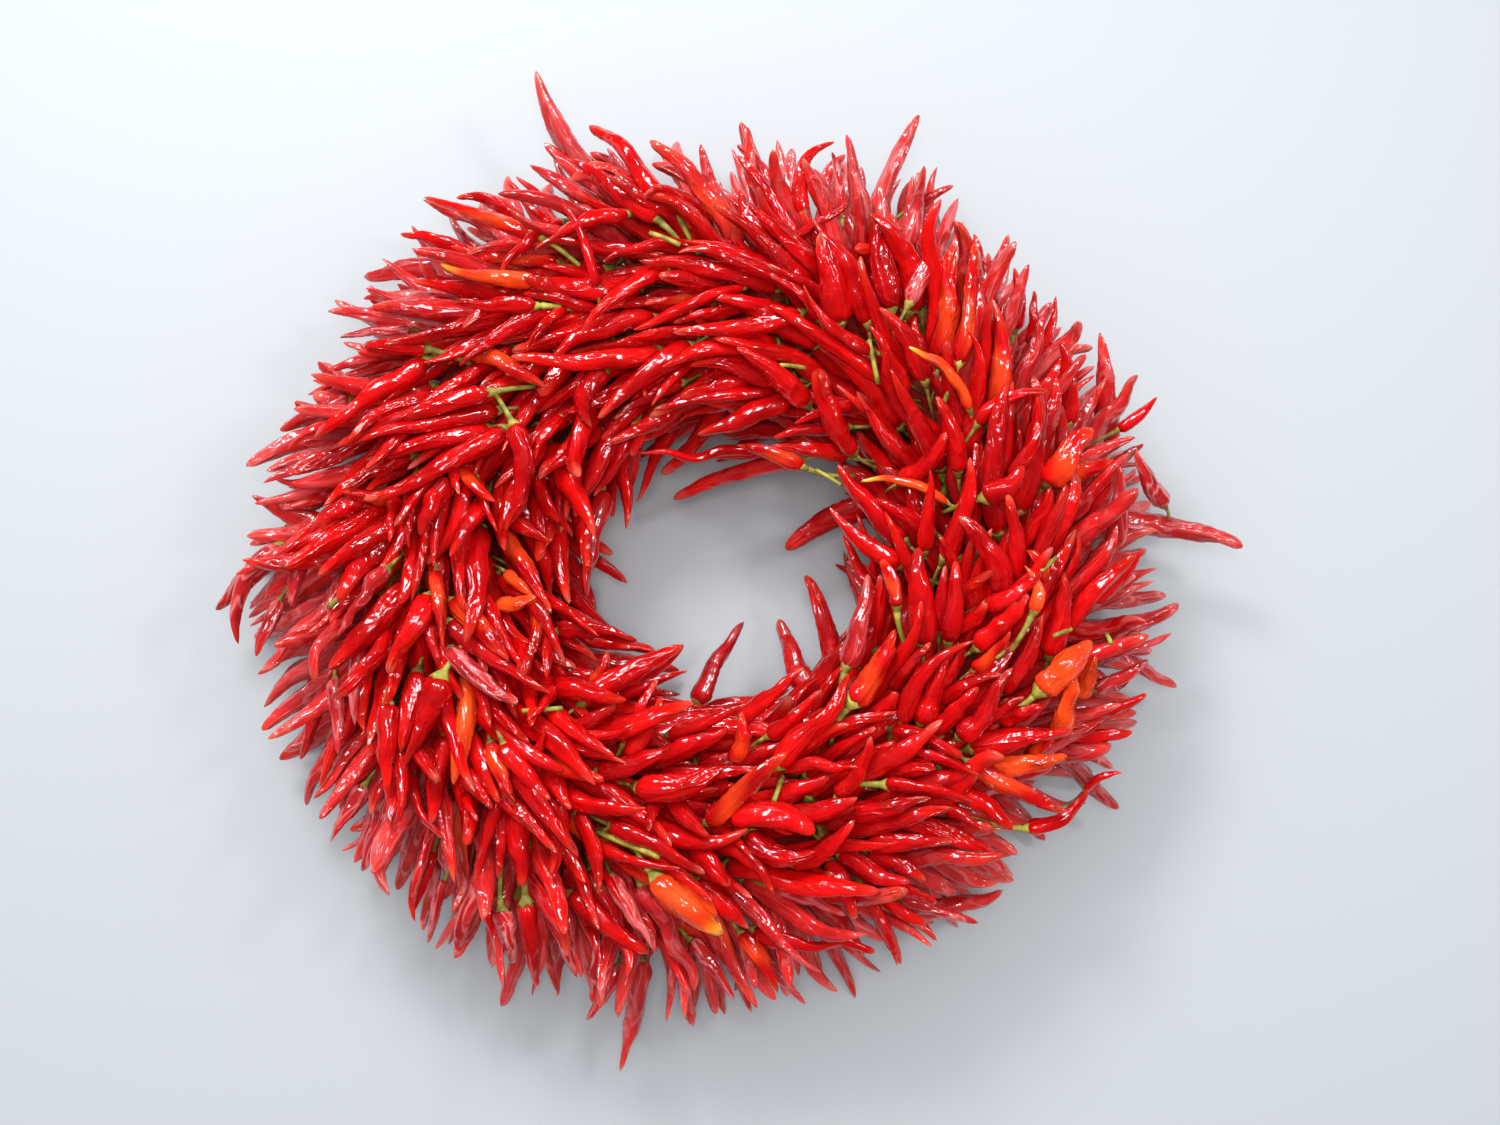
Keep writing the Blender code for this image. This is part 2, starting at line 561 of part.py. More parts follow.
def tied_chili(lane, number, count, phase, leans, draw):
    """One chili of a lane, with its stem drawn to the bundle's tie."""
    turn = (number + draw.uniform(-GAP_SPREAD, GAP_SPREAD)) / count + phase
    angle = 2 * math.pi * turn
    place = math.radians(lane.place + draw.normal(0, PLACE_SPREAD))
    zone = sum(lane.place > edge for edge in ZONE_EDGES)
    bundle = (turn * BUNDLES + zone / ZONES) % BUNDLES
    lean = leans[zone, int(bundle)]
    splay = math.radians(lane.splay + draw.laplace(0, SPLAY_SPREAD) + BUNDLE_SPLAY_SPREAD * lean[0])
    lift = math.radians(lane.lift + draw.laplace(0, LIFT_SPREAD) + BUNDLE_LIFT_SPREAD * lean[1])
    length = CHILI_LENGTH * (1 + uneven(draw, LENGTH_SPREAD))
    radius = CHILI_RADIUS * (1 + uneven(draw, RADIUS_SPREAD))
    along, out, up = directions(angle)
    root = on_ring(angle, place, lane.perch * MM)
    way = math.cos(splay) * along + math.sin(splay) * (math.cos(lift) * out + math.sin(lift) * up)
    tip = root + length * way
    tie = on_ring(angle + (TIE_AT - bundle % 1) * 2 * math.pi / BUNDLES, place, lane.perch * MM)
    root = root + GATHER * (tie - root)
    way = unit(tip - root)
    root, tip = drawn_back(root, root + length * way)
    side = unit(np.cross(way, draw.normal(0, 1, 3)))
    middle = (root + tip) / 2 + length * uneven(draw, BOW_SPREAD) * side
    return Chili(root, middle, tip, radius, LANES.index(lane))


def lay_out():
    """Every chili of the wreath before settling, the strays first."""
    draw = np.random.default_rng(SEED)
    chilis = [stray_chili(stray, draw) for stray in STRAYS]
    chilis += [front_chili(front, FRONT_SINK) for front in FRONTS]
    chilis += [front_chili(front, CAPPED_SINK) for front in CAPPED_FRONTS]
    leans = draw.normal(0, 1, (ZONES, BUNDLES, 2))
    for lane in LANES:
        radius = np.hypot(*on_ring(0.0, math.radians(lane.place))[:2])
        count = round(2 * math.pi * radius / (lane.gap * MM))
        phase = draw.uniform(0, 1)
        chilis += [tied_chili(lane, k, count, phase, leans, draw) for k in range(count)]
    return chilis


# Settling them


def girth(t):
    """A chili's radius at places along its length, as a share of its widest."""
    t = np.asarray(t, float)
    bulge = np.sqrt(1 - (1 - np.clip(t / SHOULDER_END, 0, 1)) ** 2)
    shoulder = NECK_SHARE + (1 - NECK_SHARE) * bulge
    taper = 1 - (1 - TIP_SHARE) * np.clip((t - TAPER_START) / (1 - TAPER_START), 0, 1) ** TAPER_POWER
    blunt = np.sqrt(1 - np.clip((t - BLUNT_START) / (1 - BLUNT_START), 0, 1) ** 2)
    return shoulder * taper * blunt


def touching(points, radii, owner):
    """Pairs of balls, of two chilis, that overlap."""
    tree = kdtree.KDTree(len(points))
    for index, point in enumerate(points):
        tree.insert(point, index)
    tree.balance()
    widest = radii.max()
    pairs = [(i, j) for i, point in enumerate(points)
             for _, j, gap in tree.find_range(point, radii[i] + widest)
             if i < j and owner[i] != owner[j] and gap < radii[i] + radii[j]]
    return np.array(pairs, int).reshape(-1, 2)


def off_ring(balls, t):
    """The moves that lift balls out of the ring. Stem ends may stay in it."""
    angle = np.arctan2(balls[:, 1], balls[:, 0])
    middle, half = ring_section(angle)
    across = (np.hypot(balls[:, 0], balls[:, 1]) - middle) / half
    above = balls[:, 2] / (RING_HEIGHT / 2) - 1
    far = np.hypot(across, above) + TINY
    due = np.clip((t - SUNK_UNTIL) / (CLEAR_FROM - SUNK_UNTIL), 0, 1)
    lift = RING_PUSH * due * np.clip(1 - far, 0, None) * half / far
    return np.stack([lift * across * np.cos(angle), lift * across * np.sin(angle), lift * above], 1)


def pushes(balls, radii, owner, loose):
    """The moves that part overlapping balls. A stray stays put, so its neighbour moves twice as far."""
    a, b = touching(balls, radii, owner).T
    gap = balls[b] - balls[a]
    far = np.linalg.norm(gap, axis=1) + TINY
    push = gap * ((radii[a] + radii[b] - far) / far / 2)[:, None]
    move = np.zeros_like(balls)
    np.add.at(move, a, -push * (2 - loose[owner[b]])[:, None])
    np.add.at(move, b, push * (2 - loose[owner[a]])[:, None])
    hits = np.bincount(np.concatenate([a, b]), minlength=len(balls))
    return move / np.sqrt(np.maximum(hits, 1))[:, None]


def settle(chilis):
    """The chilis once none runs deep into another, the ring or the floor."""
    bends = np.array([[c.root, c.middle, c.tip] for c in chilis])
    home = bends.copy()
    arms = np.linalg.norm(np.diff(bends, axis=1), axis=2)
    t = (np.arange(BALLS) + FIRST_BALL) / BALLS
    weight = np.stack([(1 - t) ** 2, 2 * t * (1 - t), t ** 2], 1)
    share = weight / (weight ** 2).sum(0)
    skin = np.outer([c.radius for c in chilis], girth(t)).ravel()
    owner = np.repeat(np.arange(len(chilis)), BALLS)
    loose = np.array([c.lane != STRAY for c in chilis], float)
    hold = np.tile(np.array(HOLD)[:, None], (len(chilis), 1, 3))
    hold[[c.lane == FRONT for c in chilis], :, :2] = FRONT_HOLD
    for _ in range(ROUNDS):
        balls = np.einsum("km,nmd->nkd", weight, bends).reshape(-1, 3)
        move = pushes(balls, BALL_SHARE * skin, owner, loose)
        move += off_ring(balls, np.tile(t, len(chilis)))
        move[:, 2] += np.clip(skin - balls[:, 2], 0, None)
        move[:, 2] -= PRESS * np.clip(balls[:, 2] + skin - CEILING, 0, None)
        turn = np.einsum("km,nkd->nmd", share, move.reshape(len(chilis), BALLS, 3))
        bends += loose[:, None, None] * (PACE * turn + hold * (home - bends))
        for arm in (0, 1):
            reach = bends[:, arm + 1] - bends[:, arm]
            stretch = arms[:, arm] / np.linalg.norm(reach, axis=1)
            bends[:, arm + 1] = bends[:, arm] + reach * stretch[:, None]
    return [c._replace(root=b[0], middle=b[1], tip=b[2]) for c, b in zip(chilis, bends)]


# The solid


def inward(point):
    """From a point to the middle of the ring's section beside it."""
    angle = math.atan2(point[1], point[0])
    _, out, up = directions(angle)
    middle, _ = ring_section(angle)
    return middle * out + RING_HEIGHT / 2 * up - point


def shown(chilis):
    """The strays, then the chilis that stand out furthest where none is made yet."""
    picked = [c for c in chilis if c.lane == STRAY]
    tied = [c for c in chilis if c.lane != STRAY]
    tied.sort(key=lambda c: -np.linalg.norm(inward(c.middle)))
    for chili in tied:
        if all(np.linalg.norm(chili.middle - other.middle) > SPREAD for other in picked):
            picked.append(chili)
    return picked


def new_object(name, mesh, material, collection):
    mesh.materials.append(material)
    obj = bpy.data.objects.new(name, mesh)
    collection.objects.link(obj)
    return obj


def tube_mesh(name, rings, tip=None):
    """A closed tube through rings of points. Without a tip it runs back to the first ring."""
    bm = bmesh.new()
    loops = [[bm.verts.new(point) for point in ring] for ring in rings]
    following = loops[1:] + loops[:1] if tip is None else loops[1:]
    for low, high in zip(loops, following):
        for k, corner in enumerate(low):
            bm.faces.new((low[k - 1], corner, high[k], high[k - 1]))
    if tip is not None:
        end = bm.verts.new(tip)
        for k, corner in enumerate(loops[-1]):
            bm.faces.new((loops[-1][k - 1], corner, end))
        bm.faces.new(reversed(loops[0]))
    bmesh.ops.recalc_face_normals(bm, faces=bm.faces)
    mesh = bpy.data.meshes.new(name)
    bm.to_mesh(mesh)
    bm.free()
    return mesh


def solid_ring():
    """The ring's rings of points: oval sections, cut flat where the wreath rests."""
    middle_z = (SOLID_TOP + SOLID_LOW) / 2
    half_z = (SOLID_TOP - SOLID_LOW) / 2
    places = 2 * math.pi * np.arange(SECTION_STEPS) / SECTION_STEPS
    rings = []
    for angle in 2 * math.pi * np.arange(RING_STEPS) / RING_STEPS:
        middle, half = ring_section(angle, SOLID_OUTER, SOLID_INNER)
        _, out, up = directions(angle)
        radii = middle + half * np.cos(places)
        heights = np.maximum(middle_z + half_z * np.sin(places), 0)
        rings.append([radius * out + height * up for radius, height in zip(radii, heights)])
    return rings


def above_floor(point):
    return np.array([point[0], point[1], max(point[2], FLOOR_GAP)])


def chili_rings(chili):
    """Rings of points from the stem's foot in the ring to near the tip, and the tip."""
    t = np.array(CHILI_BANDS)[:, None]
    middles = (1 - t) ** 2 * chili.root + 2 * t * (1 - t) * chili.middle + t ** 2 * chili.tip
    foot = chili.root + STEM_DEPTH * unit(inward(chili.root))
    middles = np.vstack([foot, middles])
    radii = [STEM_RADIUS, *(chili.radius * girth(CHILI_BANDS))]
    runs = np.gradient(np.vstack([middles, chili.tip]), axis=0)
    side = np.cross(runs[1], inward(chili.root))
    turns = 2 * math.pi * np.arange(CHILI_SIDES) / CHILI_SIDES
    rings = []
    for middle, radius, run in zip(middles, radii, runs):
        across = unit(side - np.dot(side, unit(run)) * unit(run))
        over = np.cross(unit(run), across)
        ring = [middle + radius * (math.cos(turn) * across + math.sin(turn) * over) for turn in turns]
        rings.append([above_floor(point) for point in ring])
    return rings, above_floor(chili.tip)


def fuse(ring, chilis, material):
    """One solid of the ring and the chilis."""
    pieces = bpy.data.collections.new("pieces")
    bpy.context.scene.collection.children.link(pieces)
    for number, chili in enumerate(chilis):
        rings, tip = chili_rings(chili)
        name = f"chili_{number}"
        new_object(name, tube_mesh(name, rings, tip), material, pieces)
    union = ring.modifiers.new("fuse", "BOOLEAN")
    union.operation = "UNION"
    union.operand_type = "COLLECTION"
    union.collection = pieces
    union.solver = "EXACT"
    graph = bpy.context.evaluated_depsgraph_get()
    fused = bpy.data.meshes.new_from_object(ring.evaluated_get(graph))
    ring.modifiers.clear()
    ring.data = fused
    for piece in list(pieces.objects):
        bpy.data.objects.remove(piece, do_unlink=True)
    bpy.data.collections.remove(pieces)


def shells_of(bm):
    """The mesh's faces, by connected surface."""
    left = set(bm.faces)
    while left:
        shell = set()
        found = [left.pop()]
        while found:
            face = found.pop()
            shell.add(face)
            near = {other for edge in face.edges for other in edge.link_faces} & left
            left -= near
            found.extend(near)
        yield shell


def keep_largest_shell(obj):
    """Fills the hollows that fusing seals and drops loose scraps: only the outer surface stays."""
    bm = bmesh.new()
    bm.from_mesh(obj.data)
    shells = sorted(shells_of(bm), key=len)
    scraps = [face for shell in shells[:-1] for face in shell]
    bmesh.ops.delete(bm, geom=scraps, context="FACES")
    bm.to_mesh(obj.data)
    bm.free()


def skin_material():
    material = bpy.data.materials.new("chili_skin")
    material.use_nodes = True
    shader = material.node_tree.nodes["Principled BSDF"]
    shader.inputs["Base Color"].default_value = SKIN_COLOUR
    shader.inputs["Roughness"].default_value = SKIN_ROUGHNESS
    shader.inputs["Metallic"].default_value = 0.0
    return material


def main():
    clear_scene()
    skin = skin_material()
    name = "chili_bundle"
    bundle = new_object(name, tube_mesh(name, solid_ring()), skin, bpy.context.scene.collection)
    fuse(bundle, shown(settle(lay_out())), skin)
    keep_largest_shell(bundle)
    bundle.location = (WREATH_X, WREATH_Y, 0.0)


main()
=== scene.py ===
"""The looks of the dried chili wreath, which lies on its back and is seen from above.

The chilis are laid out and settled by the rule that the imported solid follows, so their outline is close to
its own, and more are added on the back, where the solid is flat. Each gets its wrinkled skin, its tip, its
calyx and its stalk.
"""

import math
from collections import namedtuple

import bpy
import numpy as np
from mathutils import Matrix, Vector, kdtree


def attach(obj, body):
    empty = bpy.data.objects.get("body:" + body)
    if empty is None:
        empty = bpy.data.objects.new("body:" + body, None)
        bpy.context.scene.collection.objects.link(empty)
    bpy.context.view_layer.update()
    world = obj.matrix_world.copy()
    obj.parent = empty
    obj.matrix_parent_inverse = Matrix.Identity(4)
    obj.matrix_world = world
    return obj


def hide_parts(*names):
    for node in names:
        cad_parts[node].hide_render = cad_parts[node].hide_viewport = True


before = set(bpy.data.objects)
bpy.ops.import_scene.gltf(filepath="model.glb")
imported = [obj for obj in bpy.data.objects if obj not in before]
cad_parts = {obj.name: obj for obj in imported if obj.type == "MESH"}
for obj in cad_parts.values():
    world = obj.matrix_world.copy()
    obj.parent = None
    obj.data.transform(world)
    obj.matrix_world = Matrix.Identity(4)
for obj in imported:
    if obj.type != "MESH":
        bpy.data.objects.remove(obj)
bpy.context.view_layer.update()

MM = 0.001

# The middle of the wreath, a little off the origin because the stray tips are uneven
WREATH_X = -14 * MM
WREATH_Y = 4 * MM
WREATH_MIDDLE = np.array([WREATH_X, WREATH_Y, 0])

# The ring that the chilis are tied round, and its hole, which sits off the middle
RING_OUTER = 190 * MM
RING_INNER = 110 * MM
HOLE_X = 12 * MM
HOLE_Y = -6 * MM
STRETCH = 5 * MM         # both edges lie this much further out at the sides, and further in above and below
RING_HEIGHT = 80 * MM

# A typical chili, without its stem
CHILI_LENGTH = 70 * MM
CHILI_RADIUS = 7.0 * MM

# Chilis are tied on in lanes along the ring. Angles are in degrees.
# place: where round the ring's section, 0 at its outer edge, 90 at the front, 180 at the hole
# splay: between the chili and the ring's run; lift: where the splay leans, on the same scale as place
# gap: from one chili to the next, in millimetres; perch: how far off the ring they are tied
Lane = namedtuple("Lane", "place splay lift gap perch")
LANES = (
    Lane(-42, 74, -6, 17.0, 0),
    Lane(-20, 70, -3, 16.5, 0),
    Lane(3, 65, 8, 16.5, 0),
    Lane(26, 57, 20, 17.5, 0),
    Lane(47, 45, 36, 19.5, 0),
    Lane(66, 32, 58, 23.0, 0),
    Lane(84, 24, 82, 27.0, 0),
    Lane(101, 22, 104, 28.0, 0),
    Lane(119, 27, 126, 25.0, 0),
    Lane(138, 35, 146, 21.0, 0),
    Lane(158, 41, 162, 19.0, 0),
    Lane(180, 42, 176, 18.5, 0),
    Lane(203, 42, 186, 20.0, 0),
)
# The same on the ring's back, where next to nothing shows from above
BACK_LANES = (
    Lane(236, 24, 180, 27.0, -13),
    Lane(262, 16, 200, 33.0, -13),
    Lane(284, 20, -20, 33.0, -13),
    Lane(306, 44, -20, 25.0, -13),
)
# How far from the wreath's middle the photograph shows their tips, every 20 degrees round it from the
# right, in millimetres, and how near to the hole's middle. What would be seen past that is drawn back.
EDGE = (242, 242, 234, 240, 236, 234, 234, 236, 236, 246, 250, 252, 250, 248, 240, 242, 232, 246)
HOLE_EDGE = 62 * MM
DRAWN_BACK = 0.6         # share of the way
ZONE_EDGES = (44, 122)   # places that part the outer, front and hole zones
ZONES = len(ZONE_EDGES) + 1
BUNDLES = 17             # in each zone
TIE_AT = 0.4             # where along its bundle the tie is
GATHER = 0.4             # how far a stem is drawn to it

# How uneven the chilis are: angles in degrees, the rest as shares
GAP_SPREAD = 0.32
PLACE_SPREAD = 6
SPLAY_SPREAD = 9
LIFT_SPREAD = 10
BUNDLE_SPLAY_SPREAD = 9
BUNDLE_LIFT_SPREAD = 11
LENGTH_SPREAD = 0.15
RADIUS_SPREAD = 0.13
BOW_SPREAD = 0.11        # of the length
MOST_UNEVEN = 2.3        # no length, radius or bow is more of its spreads out than this
SEED = 7

# Chilis that stand out of the outline or into the hole. Each is placed by its tip: the angle round the
# wreath, the reach from its middle and the height, then the heading, the length and how far it bows.
# Angles are in degrees and sizes in millimetres.
Stray = namedtuple("Stray", "angle reach height heading length bow")
STRAYS = (
    Stray(109, 287, 66, 118, 78, -3),
    Stray(64, 277, 58, 66, 68, -3),
    Stray(29, 250, 66, 97, 62, 2),
    Stray(22, 256, 72, 56, 60, -3),
    Stray(1, 298, 48, -12, 72, -4),
    Stray(354, 261, 56, 16, 66, 7),
    Stray(345, 274, 26, -19, 62, -5),
    Stray(329, 268, 30, -50, 60, 9),
    Stray(312, 246, 30, 9, 66, 5),
    Stray(296, 246, 38, -65, 64, -4),
    Stray(283, 248, 44, -44, 64, -3),
    Stray(269, 254, 38, -70, 62, -9),
    Stray(261, 283, 26, -101, 66, -4),
    Stray(246, 268, 28, -100, 64, -8),
    Stray(239, 252, 58, -104, 68, -5),
    Stray(212, 257, 32, -122, 64, 4),
    Stray(202, 255, 58, -143, 66, 3),
    Stray(186, 272, 36, -134, 64, -6),
    Stray(169, 254, 60, -160, 70, 8),
    Stray(173, 244, 72, 151, 60, 5),
    Stray(140, 252, 36, -175, 66, 3),
    Stray(128, 255, 54, 157, 66, 5),
    Stray(117, 248, 36, 103, 62, -2),
    Stray(111, 248, 60, 143, 61, 0),
    Stray(85, 244, 62, 114, 80, -4),
    Stray(71, 246, 70, 102, 68, 2),
    Stray(115, 38, 34, -164, 74, 6),
    Stray(7, 47, 34, -152, 56, 5),
    Stray(349, 58, 48, 104, 62, 8),
    Stray(322, 54, 24, 114, 56, -5),
    Stray(303, 42, 32, 61, 54, -4),
    Stray(259, 51, 58, 32, 66, 4),
    Stray(243, 58, 38, -14, 60, 4),
    Stray(200, 67, 52, -97, 62, 5),
    Stray(140, 55, 28, -98, 56, 3),
)
STRAY_ROOT = 44 * MM     # height of a stray chili's stem end
STRAY_ARCH = 2 * MM      # how far its middle is raised
STRAY_GIRTH = (0.85, 1.05)
STRAY = -1               # its lane

# The photograph shows them from this place, aimed at a point right of and below the wreath's middle
PHOTO_X, PHOTO_Y = 750, 562.5   # the photograph's middle, in its pixels
PIXEL = 0.55 * MM               # what a pixel spans at the aim
AIM = (26.4 * MM, -3.85 * MM, 50 * MM)
SIGHT = 950 * MM                # from the camera to the aim
TILT = 7                        # in degrees, from straight above

